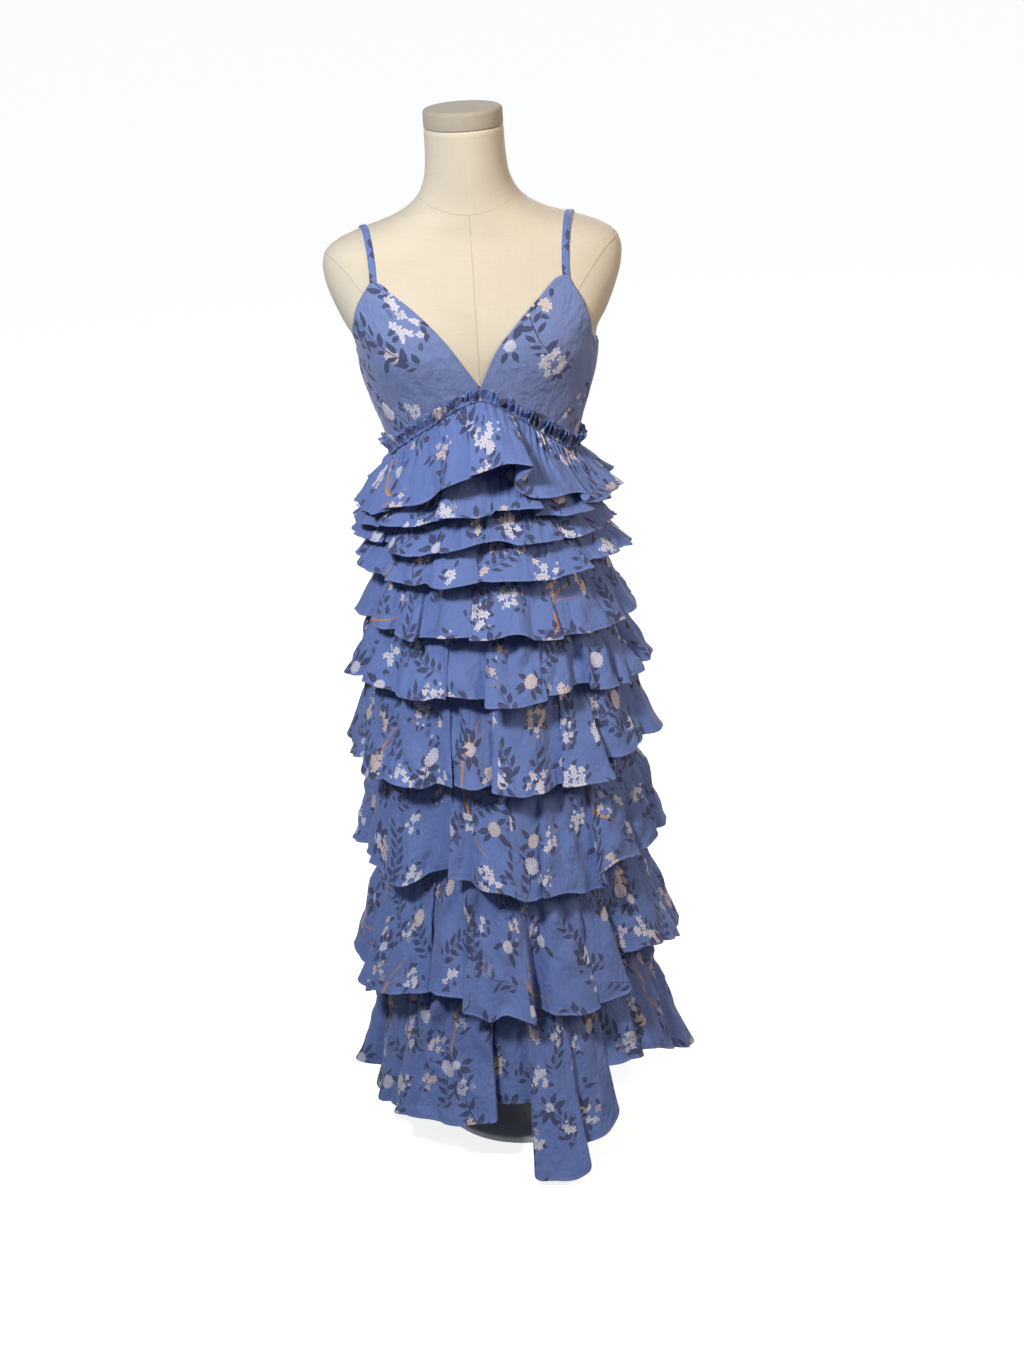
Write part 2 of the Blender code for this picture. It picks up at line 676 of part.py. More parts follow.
def tier_point(number, tier, angle, t):
    """A point of a ruffle's inner face: t runs from 0 at its seam to 1 at its hem."""
    turn = math.radians(angle)
    seam = tier_seam(number, tier, angle)
    hem = tier.hem + tier.hem_lift * front_share(angle, FRONT_LIFT_SHAPE)
    phase = wave_angle(tier, angle)
    wave = math.cos(phase) - WAVE_SHARPNESS * math.cos(2 * phase)
    crest = 1 - WAVE_SHARPNESS
    depth = tier.wave_depth * (1 + ripple(UNEVEN_DEPTH, tier, angle))
    out = depth * (wave - crest)
    for fold in FOLDS:
        if fold.tier == number:
            near = math.exp(-0.5 * (signed_angle(angle - fold.angle) / fold.spread) ** 2)
            out += fold.out * near
            hem -= fold.drop * near
    top = cloth_point(angle, seam, SEAM_GAP)
    outward = Vector((math.sin(turn) / tier.side_reach, -math.cos(turn) / tier.front_reach, 0.0))
    outward.normalize()
    sideways = Vector((-outward.y, outward.x, 0.0))
    bottom = Vector((tier.side_reach * math.sin(turn), -tier.front_reach * math.cos(turn), hem))
    point = top.lerp(bottom, t**FLARE_GROWTH)
    point.z = seam + (hem - seam) * t
    grown = t**WAVE_GROWTH
    sway = -WAVE_SWAY * depth * math.sin(2 * phase) * grown
    point += outward * (out * grown) + sideways * sway
    return point + outward * room_needed(number, angle, point, outward)


def room_needed(number, angle, point, outward):
    """How far a point must move out to clear the next tier down, where that one lies under it."""
    if number == len(TIERS):
        return 0.0
    below = TIERS[number]
    seam = tier_seam(number + 1, below, angle)
    t = (seam - point.z) / (seam - below.hem)
    if t <= 0.0:
        return 0.0
    steps = ruffle_steps(below)
    row = next(i for i in range(1, len(steps)) if t <= steps[i] or i == len(steps) - 1)
    upper = tier_point(number + 1, below, angle, steps[row - 1])
    lower = tier_point(number + 1, below, angle, steps[row])
    under = upper.lerp(lower, (t - steps[row - 1]) / (steps[row] - steps[row - 1]))
    return max(RUFFLE_CLEARANCE - (point - under).dot(outward), 0.0)


def build_tiers(collection):
    for number, tier in enumerate(TIERS, start=1):
        angles = full_turn(tier.waves * POINTS_PER_WAVE)
        steps = reversed(ruffle_steps(tier))
        rows = [[tier_point(number, tier, a, t) for a in angles] for t in steps]
        hanging_wall(f"tier_{number:02d}", rows, BLUE_COTTON, collection)


def main():
    for thing in list(bpy.data.objects):
        bpy.data.objects.remove(thing)
    collection = bpy.data.collections.new("ruffled_midi_dress")
    bpy.context.scene.collection.children.link(collection)
    build_stand(collection)
    build_form(collection)
    build_bodice(collection)
    build_straps(collection)
    build_heading(collection)
    build_foundation(collection)
    build_tiers(collection)


main()
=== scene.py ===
import math

import bmesh
import bpy
import numpy as np
from mathutils import Matrix, Vector


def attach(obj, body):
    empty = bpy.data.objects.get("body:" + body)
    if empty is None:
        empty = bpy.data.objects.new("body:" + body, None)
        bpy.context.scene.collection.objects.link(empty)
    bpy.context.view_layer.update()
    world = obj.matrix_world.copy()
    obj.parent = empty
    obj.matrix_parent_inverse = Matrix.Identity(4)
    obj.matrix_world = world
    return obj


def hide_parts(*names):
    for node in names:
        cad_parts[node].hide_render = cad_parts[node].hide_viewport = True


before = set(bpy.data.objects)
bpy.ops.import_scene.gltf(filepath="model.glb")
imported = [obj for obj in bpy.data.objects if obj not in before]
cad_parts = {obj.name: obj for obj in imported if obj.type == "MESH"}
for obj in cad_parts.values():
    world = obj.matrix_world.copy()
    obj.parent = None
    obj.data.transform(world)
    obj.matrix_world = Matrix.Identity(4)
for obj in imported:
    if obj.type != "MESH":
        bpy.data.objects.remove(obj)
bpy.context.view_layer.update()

# Angles run in degrees from 0 at centre front through 90 at +X to 180 at centre back.

formSections = {  # the body of the dress form, lowest first
    "height": (0.585, 0.605, 0.665, 0.745, 0.825, 0.895, 0.950, 1.005, 1.055, 1.095, 1.135, 1.170,
               1.200, 1.230, 1.255, 1.271, 1.287, 1.298, 1.307, 1.315, 1.322, 1.331, 1.343, 1.360,
               1.385, 1.415, 1.4395),
    "halfWidth": (0.148, 0.157, 0.163, 0.162, 0.146, 0.124, 0.114, 0.117, 0.129, 0.142, 0.152,
                  0.1555, 0.1715, 0.1845, 0.192, 0.1935, 0.1895, 0.1785, 0.1605, 0.139, 0.115,
                  0.093, 0.0745, 0.061, 0.053, 0.0508, 0.0505),
    "halfDepth": (0.098, 0.105, 0.110, 0.110, 0.100, 0.088, 0.080, 0.081, 0.086, 0.091, 0.095,
                  0.097, 0.096, 0.092, 0.086, 0.081, 0.075, 0.071, 0.068, 0.066, 0.064, 0.062,
                  0.059, 0.055, 0.052, 0.0508, 0.0505),
    "centre": (0.004, 0.004, 0.005, 0.005, 0.003, 0.0, -0.002, -0.003, -0.003, -0.002, 0.0, 0.002,
               0.004, 0.006, 0.008, 0.009, 0.010, 0.011, 0.011, 0.010, 0.009, 0.008, 0.006, 0.002,
               -0.003, -0.006, -0.008),
    "squareness": (2.3, 2.3, 2.3, 2.25, 2.2, 2.1, 2.1, 2.1, 2.15, 2.2, 2.2, 2.25, 2.3, 2.3, 2.3,
                   2.3, 2.3, 2.2, 2.1, 2.0, 2.0, 2.0, 2.0, 2.0, 2.0, 2.0, 2.0),
}
skirtSections = {  # the plain skirt that carries the ruffles, lowest first
    "height": (0.270, 0.450, 0.600, 0.745, 0.825, 0.895, 0.960, 1.020),
    "halfWidth": (0.178, 0.173, 0.171, 0.169, 0.156, 0.138, 0.128, 0.125),
    "halfDepth": (0.150, 0.141, 0.130, 0.119, 0.110, 0.100, 0.092, 0.089),
    "centre": (0.0, 0.001, 0.003, 0.004, 0.003, 0.0, -0.002, -0.003),
    "squareness": (2.0, 2.1, 2.2, 2.25, 2.2, 2.1, 2.1, 2.1),
}
bustShape = {"angle": 36.0, "height": 1.170, "rise": 0.022, "across": 19.0, "up": 0.042,
             "down": 0.036}
seamGap = 0.0003
plainEdge = 0.0022  # how much of the rolled hem's painted highlight an edge without a hem leaves out


def smoothStep(low, high, value):
    t = np.clip((value - low) / (high - low), 0.0, 1.0)
    return t * t * (3 - 2 * t)


def signedAngle(angle):
    return (angle + 180.0) % 360.0 - 180.0


def smoothCurve(places, values, place):  # through the values, and never past them
    places, values = np.array(places), np.array(values)
    slopes = np.diff(values) / np.diff(places)
    before, after = slopes[:-1], slopes[1:]
    total = np.where(before + after == 0, 1.0, before + after)
    inner = np.where(before * after <= 0, 0.0, 2 * before * after / total)
    tangents = np.concatenate([slopes[:1], inner, slopes[-1:]])
    place = np.clip(place, places[0], places[-1])
    low = np.clip(np.searchsorted(places, place) - 1, 0, len(places) - 2)
    step = places[low + 1] - places[low]
    t = (place - places[low]) / step
    ends = values[low] * (1 + 2 * t) * (1 - t) ** 2 + values[low + 1] * t * t * (3 - 2 * t)
    return ends + step * t * (1 - t) * (tangents[low] * (1 - t) - tangents[low + 1] * t)


def smoothTable(rows, place):  # rows of place and value
    return smoothCurve(*np.array(rows, float).T, place)


def stack(x, y, z):
    return np.stack(np.broadcast_arrays(x, y, z), axis=-1)


def sectionPoint(sections, angle, height, out):
    halfWidth, halfDepth, centre, squareness = (
        smoothCurve(sections["height"], sections[column], height)
        for column in ("halfWidth", "halfDepth", "centre", "squareness"))
    power = 2.0 / squareness
    sine, cosine = np.sin(np.radians(angle)), np.cos(np.radians(angle))
    x = halfWidth * np.sign(sine) * np.abs(sine) ** power
    y = centre - halfDepth * np.sign(cosine) * np.abs(cosine) ** power
    normalX = np.sign(sine) * np.abs(sine) ** (2 - power) / halfWidth
    normalY = -np.sign(cosine) * np.abs(cosine) ** (2 - power) / halfDepth
    length = np.hypot(normalX, normalY)
    return stack(x + normalX / length * out, y + normalY / length * out, height)


def bell(angle, middle, spread):  # 1 at the middle angle, and near 0 well past its spread
    return np.exp(-0.5 * (signedAngle(angle - middle) / spread) ** 2)


def bustRise(angle, height):
    spread = np.where(height > bustShape["height"], bustShape["up"], bustShape["down"])
    up = (height - bustShape["height"]) / spread
    total = 0.0
    for side in (-bustShape["angle"], bustShape["angle"]):
        across = signedAngle(angle - side) / bustShape["across"]
        total = total + bustShape["rise"] * np.exp(-0.5 * (across**2 + up**2))
    return total


def formPoint(angle, height, out=0.0):
    return sectionPoint(formSections, angle, height, bustRise(angle, height) + out)


bodice = {
    "ease": 0.0025,  # from the form to the cloth's inner face
    "wall": 0.0015,  # the CAD wall, which holds this cloth
    "thickness": 0.0009,
    "sideAngle": 90.0,
    "princessFoot": 38.0,
    "princessTop": 87.5,
    "seamAngle": 0.1,
    "blend": (0.985, 1.035),  # where the fitted bodice turns into the hanging skirt
}
# The height of the top edge at places round each side: angle from centre front, then height.
topEdge = {
    "right": ((0.0, 1.1245), (3.0, 1.1485), (6.6, 1.1725), (13.4, 1.2022), (21.2, 1.2295),
              (31.7, 1.2560), (34.7, 1.2560), (37.2, 1.2455), (42.4, 1.2287), (46.4, 1.2130),
              (50.2, 1.1985), (57.4, 1.1802), (70.0, 1.1640), (90.0, 1.1540), (180.0, 1.1500)),
    "left": ((0.0, 1.1245), (5.0, 1.1505), (8.0, 1.1670), (14.0, 1.1990), (20.8, 1.2245),
             (28.0, 1.2435), (35.4, 1.2600), (38.4, 1.2600), (43.6, 1.2475), (48.4, 1.2347),
             (52.6, 1.2218), (57.4, 1.2066), (63.2, 1.1930), (75.0, 1.1740), (90.0, 1.1600),
             (180.0, 1.1500)),
}
seamEdge = {
    "right": ((0.0, 1.1110), (4.2, 1.1050), (11.6, 1.0920), (20.2, 1.0780), (31.8, 1.0592),
              (44.8, 1.0418), (62.4, 1.0235), (90.0, 1.0170), (180.0, 1.0200)),
    "left": ((0.0, 1.1110), (5.8, 1.1060), (14.4, 1.0948), (23.4, 1.0809), (36.2, 1.0653),
             (53.4, 1.0454), (83.8, 1.0220), (110.0, 1.0200), (180.0, 1.0200)),
}


def edgeHeight(edge, angle):  # an edge with its own rows for each side
    turn = signedAngle(angle)
    left, right = (smoothTable(edge[side], np.abs(turn)) for side in ("left", "right"))
    return np.where(turn < 0, left, right)


def empireSeam(angle):
    return edgeHeight(seamEdge, angle)


def bodiceTop(angle):
    return edgeHeight(topEdge, angle)


def clothPoint(angle, height, out=0.0):  # the bodice's outer face and, below, the skirt's
    fitted = formPoint(angle, height, bodice["ease"] + bodice["wall"] + out)
    hanging = sectionPoint(skirtSections, angle, height, out)
    share = smoothStep(*bodice["blend"], height)
    share = np.broadcast_to(share, fitted.shape[:-1])[..., None]
    return hanging + (fitted - hanging) * share


# Materials


class Dye:  # one socket of a material's tree; sums on it add Math nodes
    def __init__(self, tree, socket=None):
        self.tree = tree
        self.socket = socket

    def node(self, kind, settings=None, values=None, output=0):
        made = self.tree.nodes.new("ShaderNode" + kind)
        for name, setting in (settings or {}).items():
            setattr(made, name, setting)
        for name, value in (values or {}).items():
            if isinstance(value, Dye):
                self.tree.links.new(value.socket, made.inputs[name])
            else:
                made.inputs[name].default_value = value
        return Dye(self.tree, made.outputs[output])

    def sum(self, operation, first, second=None):
        terms = {0: first} if second is None else {0: first, 1: second}
        return self.node("Math", {"operation": operation}, terms)

    def vector(self, operation, other, output=0):
        return self.node("VectorMath", {"operation": operation}, {0: self, 1: other}, output)

    def __abs__(self):
        return self.sum("ABSOLUTE", self)

    def soft(self, low, high):  # 0 under low, 1 over high, smooth between
        return self.node("MapRange", {"interpolation_type": "SMOOTHSTEP"},
                         {"Value": self, "From Min": low, "From Max": high})

    def over(self, limit):  # 0 or 1
        return self.soft(limit, limit + 0.01)

    def noise(self, vector, scale, detail=2.0, roughness=0.5):
        return self.node("TexNoise", {}, {"Vector": vector, "Scale": scale, "Detail": detail,
                                          "Roughness": roughness}, "Fac")

    def mix(self, share, low, high):
        return self.node("Mix", {"data_type": "RGBA"}, {0: share, 6: low, 7: high}, 2)

    def joined(self, x, y, z=0.0):
        return self.node("CombineXYZ", {}, {0: x, 1: y, 2: z})

    def parts(self, kind, entry, count):
        split = self.node(kind, {}, {entry: self}).socket.node
        return [Dye(self.tree, split.outputs[i]) for i in range(count)]

    def flatParts(self):
        return self.parts("SeparateXYZ", "Vector", 2)

    def lots(self):  # three chance values, from a cell's colour
        return self.parts("SeparateColor", "Color", 3)


def addSign(name, operation):  # the same sign with the socket on its left and on its right
    setattr(Dye, f"__{name}__", lambda self, other: self.sum(operation, self, other))
    setattr(Dye, f"__r{name}__", lambda self, other: self.sum(operation, other, self))


for signName, signOperation in (("add", "ADD"), ("sub", "SUBTRACT"), ("mul", "MULTIPLY"),
                                ("truediv", "DIVIDE"), ("pow", "POWER")):
    addSign(signName, signOperation)


def newMaterial(name):
    material = bpy.data.materials.new(name)
    material.use_nodes = True
    material.node_tree.nodes.clear()
    return material, Dye(material.node_tree)


def finishMaterial(material, dye, constants, links):
    shader = dye.node("BsdfPrincipled", {}, {**constants, **links})
    made = dye.tree.nodes.new("ShaderNodeOutputMaterial")
    dye.tree.links.new(shader.socket, made.inputs["Surface"])
    return material


printDesign = {  # a generic flower print; sizes are metres on the flat cloth
    "ground": (0.116, 0.172, 0.408, 1),
    "groundDeep": (0.096, 0.149, 0.376, 1),
    "paintedLightGround": (0.146, 0.194, 0.400, 1),  # painted light: a paler copy of the ground for the bodice, standing in for the brighter light on it
    "paintedLightGroundDeep": (0.128, 0.176, 0.372, 1),
    "leaf": (0.044, 0.054, 0.122, 1),
    "leafPale": (0.082, 0.098, 0.195, 1),
    "twig": (0.430, 0.235, 0.130, 1),
    "petal": (0.500, 0.500, 0.600, 1),
    "petalWarm": (0.500, 0.405, 0.385, 1),
    "petalLine": (0.230, 0.255, 0.430, 1),
    "heart": (0.420, 0.300, 0.230, 1),
    "edge": 0.00028,  # how softly the ink stops
    "wander": 0.0026,  # how unsteady the drawn lines are
    "spraySize": 0.124,
    "whorlSize": 0.112,
    "posySize": 0.078,
    "branchSize": 0.210,
    "starSize": 0.0098,
    "clearings": ((0.640, 1.418, 0.054), (0.112, 1.702, 0.056)),  # the inner cups: x, y, radius
}


# Each cell's own flat coordinates, and its lots: the last is 0 in a clearing.
def cellsOf(dye, cloth, size, spread, shift, wider=1.0):
    moved = cloth.vector("ADD", (*shift, 0.0))
    values = {"Vector": moved, "Scale": 1.0 / size, "Randomness": spread}
    centres = dye.node("TexVoronoi", {"voronoi_dimensions": "2D"}, values, "Position")
    local = moved.vector("SUBTRACT", centres)
    lots = Dye(dye.tree, centres.socket.node.outputs["Color"]).lots()
    for x, y, radius in printDesign["clearings"]:
        away = centres.vector("DISTANCE", (x + shift[0], y + shift[1], 0.0), "Value")
        lots[2] = lots[2] * away.soft(radius * wider, radius * wider + 0.0001)
    return local, lots, centres


def turned(dye, local, angle):
    spun = dye.node("VectorRotate", {"rotation_type": "Z_AXIS"}, {"Vector": local, "Angle": angle})
    return spun.flatParts()


def polar(dye, x, y):  # distance and direction
    return dye.sum("SQRT", x * x + y * y), dye.sum("ARCTAN2", y, x)


def ink(depth):  # 1 where a shape's depth is over zero, with a soft edge
    return depth.soft(-printDesign["edge"], printDesign["edge"])


def inkLeaf(dye, colour, x, y, length, width, shown):  # half its length and half its width
    along = x / length
    body = (1 - along ** 2) * (1 - along * 0.35) * width - abs(y)
    vein = 1 - abs(y).soft(0.00010, 0.00050)
    green = dye.mix(vein * 0.7, printDesign["leaf"], printDesign["leafPale"])
    return dye.mix(ink(body) * (1 - abs(along).soft(0.99, 1.0)) * shown, colour, green)


def petalTone(dye, warm):
    return dye.mix(warm, printDesign["petal"], printDesign["petalWarm"])


def inkStar(dye, colour, x, y, radius, shown, warm):  # a small flower with five notched petals
    reach, around = polar(dye, x, y)
    lobe = abs(dye.sum("COSINE", around * 2.5))
    rim = (lobe * 0.60 + 0.40) * radius
    heart = 1 - (reach / radius).soft(0.10, 0.22)
    gaps = (1 - lobe.soft(0.0, 0.35)) * (reach / radius).soft(0.15, 0.35)
    petal = dye.mix(gaps * 0.75, petalTone(dye, warm), printDesign["petalLine"])
    petal = dye.mix(heart * 0.8, petal, printDesign["heart"])
    return dye.mix(ink(rim - reach) * shown, colour, petal)


def inkBloom(dye, colour, x, y, radius, shown, warm):  # a full flower with rings of thin petals
    reach, around = polar(dye, x, y)
    far = reach / radius
    outer = abs(dye.sum("COSINE", around * 8.5))
    inner = abs(dye.sum("SINE", around * 6.5))
    heart = abs(dye.sum("COSINE", around * 3.5))
    rim = outer ** 0.7 * 0.20 + 0.80
    lines = (1 - outer.soft(0.14, 0.80)) * far.soft(0.58, 0.68)
    lines = dye.sum("MAXIMUM", lines, (1 - inner.soft(0.14, 0.80)) * far.soft(0.32, 0.40)
                    * (1 - far.soft(0.62, 0.66)))
    lines = dye.sum("MAXIMUM", lines, (1 - heart.soft(0.14, 0.80)) * (1 - far.soft(0.30, 0.36)))
    petal = dye.mix(lines * 0.85, petalTone(dye, warm), printDesign["petalLine"])
    return dye.mix(ink((rim - far) * radius) * shown, colour, petal)


def inkBranch(dye, colour, cloth, shift):  # a long bent branch with one side twig
    local, lots, _ = cellsOf(dye, cloth, printDesign["branchSize"], 0.5, shift, 2.4)
    x, y = turned(dye, local, lots[0] * 2.2 - 1.1)
    bent = x - y * y * 6.0 + dye.sum("SINE", y * 95.0) * 0.0022
    taper = 1 - abs(y) / 0.066
    line = ink(taper * 0.0026 + 0.0005 - abs(bent)) * taper.soft(0.0, 0.02)
    sideTwig = ink(0.0011 - abs(bent - (y - 0.012) * 0.75)) * y.soft(0.012, 0.013)
    sideTwig = sideTwig * (1 - y.soft(0.042, 0.044))
    wood = dye.sum("MAXIMUM", line, sideTwig) * lots[2].over(0.35)
    shade = dye.mix(bent.soft(-0.0015, 0.0015) * 0.5, printDesign["twig"],
                    [c * 0.6 for c in printDesign["twig"][:3]] + [1])
    return dye.mix(wood, colour, shade)


def inkSpray(dye, colour, cloth, shift, bend):  # a stem of leaves, with a flower on some
    local, lots, _ = cellsOf(dye, cloth, printDesign["spraySize"], 0.45, shift)
    x, y = turned(dye, local, lots[0] * 2.6 - 1.3)
    x = x - y * y * bend + 0.004
    taper = 1 - abs(y) / 0.044
    there = lots[2].over(0.2)
    stem = ink(taper * 0.0006 + 0.0003 - abs(x)) * taper.soft(0.0, 0.02)
    colour = dye.mix(stem * there, colour, printDesign["leaf"])
    step = 0.0138
    side = dye.sum("SIGN", x)
    run = y + side * (step / 4) + 0.3
    beat = dye.sum("FLOORED_MODULO", run, step) - step / 2
    lean = math.radians(42)
    across = abs(x) - 0.0082
    leafLot = dye.joined(dye.sum("FLOOR", run / step), side, lots[0])
    lot = dye.node("TexWhiteNoise", {}, {"Vector": leafLot}, "Value")
    grown = lot * 0.45 + 0.75
    place = dye.joined(across / grown, beat / grown)
    leafX, leafY = turned(dye, place, dye.sum("FRACT", lot * 37.0) * -0.9 - (lean - 0.45))
    kept = lot.over(0.16) * taper.soft(0.02, 0.06) * there
    colour = inkLeaf(dye, colour, leafX, leafY, 0.0092, 0.0034, kept)
    warm = lots[1].over(0.7) * 0.7
    return inkBloom(dye, colour, x - 0.005, y - 0.019, 0.0124, lots[2].over(0.74), warm)


def inkWhorl(dye, colour, cloth, shift):  # leaves that spread from one side of a small flower
    local, lots, _ = cellsOf(dye, cloth, printDesign["whorlSize"], 0.70, shift)
    x, y = turned(dye, local, lots[0] * 6.28)
    reach, around = polar(dye, x, y)
    part = 2 * math.pi / 8
    beat = dye.sum("FLOORED_MODULO", around + 7.0, part) - part / 2
    leafLot = dye.joined(dye.sum("FLOOR", (around + 7.0) / part), lots[0])
    lot = dye.node("TexWhiteNoise", {}, {"Vector": leafLot}, "Value")
    grown = lot * 0.6 + 0.6
    lean = beat + dye.sum("FRACT", lot * 29.0) * 0.5 - 0.25
    leafX = (reach * dye.sum("COSINE", lean) - 0.0085) / grown - 0.0092
    leafY = reach * dye.sum("SINE", lean) / grown
    there = lots[2].over(0.15)
    kept = lot.over(0.34) * there
    colour = inkLeaf(dye, colour, leafX, leafY, 0.0100, 0.0042, kept)
    warm = lots[1].over(0.6) * 0.8
    return inkBloom(dye, colour, x, y, lots[1] * 0.0045 + 0.0070, there, warm)


def inkPosies(dye, colour, cloth, shift):  # small flowers that crowd round a few places
    local, lots, centres = cellsOf(dye, cloth, printDesign["starSize"], 0.90, shift)
    values = {"Vector": centres, "Scale": 1.0 / printDesign["posySize"], "Randomness": 0.75}
    posy = dye.node("TexVoronoi", {"voronoi_dimensions": "2D"}, values, "Distance")
    mood = Dye(dye.tree, posy.socket.node.outputs["Color"]).lots()
    size = mood[0] * 0.09 + 0.13
    x, y = turned(dye, local, lots[0] * 6.28)
    near = posy - size
    there = mood[1].over(0.16)
    ring = near.soft(0.0, 0.015) * (1 - near.soft(0.10, 0.13)) * lots[1].over(0.52) * there
    ring = ring * lots[2].over(0.01)
    colour = inkLeaf(dye, colour, x, y, 0.0074, 0.0027, ring)
    shown = (1 - near.soft(0.0, 0.02)) * lots[2].over(0.18) * there
    warm = mood[2].over(0.66) * 0.8
    colour = inkStar(dye, colour, x, y, lots[1] * 0.0014 + 0.0056, shown, warm)
    strays = near.soft(0.0, 0.015) * (1 - near.soft(0.07, 0.09)) * (1 - lots[1].over(0.22))
    strays = strays * there * lots[2].over(0.01)
    return inkStar(dye, colour, x, y, 0.0027, strays, warm)


def weave(dye, cloth, fine, coarse, detail, pitch):  # uneven yarns, and the relief of the threads
    across, along = cloth.flatParts()
    warp = dye.joined(across * fine, along * coarse)
    weft = dye.joined(across * coarse, along * fine)
    slubs = dye.noise(warp, 1.0, detail) + dye.noise(weft, 1.0, detail) - 1.0
    turn = 2 * math.pi / pitch
    return slubs, dye.sum("SINE", across * turn) * dye.sum("SINE", along * turn)


def printedCotton(name, ground, groundDeep):
    material, dye = newMaterial(name)
    cloth = dye.node("UVMap", {"uv_map": "cloth"})
    across, along = cloth.flatParts()
    unsteady = dye.node("TexNoise", {}, {"Vector": cloth, "Scale": 190.0, "Detail": 1.0}, "Color")
    wander = printDesign["wander"]
    unsteady = unsteady.vector("SUBTRACT", (0.5, 0.5, 0.5)).vector("MULTIPLY", (wander, wander, 0.0))
    drawn = cloth.vector("ADD", unsteady)
    colour = dye.mix(dye.noise(cloth, 9.0, 3.0), printDesign[ground], printDesign[groundDeep])
    colour = inkBranch(dye, colour, drawn, (4.43, 2.19))
    colour = inkWhorl(dye, colour, drawn, (1.93, 6.37))
    colour = inkSpray(dye, colour, drawn, (0.71, 5.23), 5.0)
    colour = inkSpray(dye, colour, drawn, (2.37, 7.91), -7.0)
    colour = inkPosies(dye, colour, drawn, (3.17, 1.31))
    slubs, threads = weave(dye, cloth, fine=1500.0, coarse=40.0, detail=1.0, pitch=0.0007)
    colour = dye.node("HueSaturation", {}, {"Color": colour, "Value": slubs * 0.26 + 1.0})
    fromEdge = dye.node("Attribute", {"attribute_name": "edge"}, {}, "Fac")
    # painted highlight: a pale line along the rolled hem, where its fold catches the light
    paintedHemHighlight = 1 - fromEdge.soft(0.0028, 0.0034)
    colour = dye.mix(paintedHemHighlight * 0.04, colour, (0.45, 0.52, 0.78, 1))
    hung = dye.joined(across * 46.0, along * 17.0)
    creased = dye.noise(hung, 1.0, 3.0, 0.6) + abs(dye.noise(cloth, 48.0, 2.0) - 0.5) * -0.8
    crumple = dye.node("Bump", {}, {"Height": creased, "Strength": 0.90, "Distance": 0.0060})
    height = threads * 0.4 + slubs * 1.2
    bump = dye.node("Bump", {}, {"Height": height, "Strength": 0.25, "Distance": 0.0004,
                                 "Normal": crumple})
    constants = {"Roughness": 0.78, "Sheen Weight": 0.20, "Sheen Roughness": 0.40,
                 "Specular IOR Level": 0.22}
    return finishMaterial(material, dye, constants, {"Base Color": colour, "Normal": bump})


def linenCover(name, share):  # share of the full tone
    material, dye = newMaterial(name)
    cloth = dye.node("UVMap", {"uv_map": "cloth"})
    slubs, threads = weave(dye, cloth, fine=1100.0, coarse=30.0, detail=1.5, pitch=0.0009)
    age = dye.noise(cloth, 6.0, 4.0)
    colour = dye.mix(age.soft(0.3, 0.8), (0.545, 0.492, 0.405, 1), (0.515, 0.460, 0.372, 1))
    colour = dye.node("HueSaturation", {}, {"Color": colour, "Value": slubs * 0.14 + share})
    fromEdge = dye.node("Attribute", {"attribute_name": "edge"}, {}, "Fac")
    # a dark line down the middle of each seam: partly the seam's own dark joint, partly painted shade
    # in its groove
    seamLineAndShade = 1 - fromEdge.soft(0.00015, 0.00050)
    colour = dye.mix(seamLineAndShade * 0.85, colour, (0.250, 0.180, 0.115, 1))
    bump = dye.node("Bump", {}, {"Height": threads * 0.4 + slubs, "Strength": 0.22,
                                 "Distance": 0.0004})
    constants = {"Roughness": 0.85, "Sheen Weight": 0.10, "Specular IOR Level": 0.25}
    return finishMaterial(material, dye, constants, {"Base Color": colour, "Normal": bump})


def enamel():
    material, dye = newMaterial("white_enamel_paint")
    place = dye.node("TexCoord", {}, {}, "Object")
    peel = dye.noise(place, 260.0, 2.0)
    bump = dye.node("Bump", {}, {"Height": peel, "Strength": 0.06, "Distance": 0.0003})
    worn = dye.noise(place, 14.0, 3.0)
    colour = dye.mix(worn, (0.82, 0.82, 0.80, 1), (0.76, 0.76, 0.74, 1))
    return finishMaterial(material, dye, {"Roughness": 0.32, "Coat Weight": 0.3},
                          {"Base Color": colour, "Normal": bump})


# Meshes


# A mesh through a grid of points. Across and along are its place on the flat cloth, and edge is
# how far each point is from the hem. Closed joins the last column to the first.
def gridPiece(name, points, closed, across, along, edge, material, thickness=None):
    rows, columns = points.shape[:2]
    mesh = bpy.data.meshes.new(name)
    row, column = np.meshgrid(np.arange(rows - 1), np.arange(columns if closed else columns - 1),
                              indexing="ij")
    nextColumn = (column + 1) % columns
    corners = [(row, column, column), (row + 1, column, column),
               (row + 1, nextColumn, column + 1), (row, nextColumn, column + 1)]
    quads = np.stack([r * columns + c for r, c, _ in corners], axis=-1).reshape(-1, 4)
    mesh.from_pydata(points.reshape(-1, 3).tolist(), [], quads.tolist())
    flat = [np.stack([across[r, c], along[r, c]], axis=-1) for r, _, c in corners]
    layer = mesh.uv_layers.new(name="cloth")
    layer.data.foreach_set("uv", np.stack(flat, axis=2).astype(np.float32).ravel())
    mark = mesh.attributes.new("edge", "FLOAT", "POINT")
    mark.data.foreach_set("value", edge.astype(np.float32).ravel())
    mesh.shade_smooth()
    mesh.materials.append(material)
    piece = bpy.data.objects.new(name, mesh)
    bpy.context.scene.collection.objects.link(piece)
    if thickness:
        wall = piece.modifiers.new("thickness", "SOLIDIFY")
        wall.thickness = thickness
        wall.offset = 0.0
    return piece


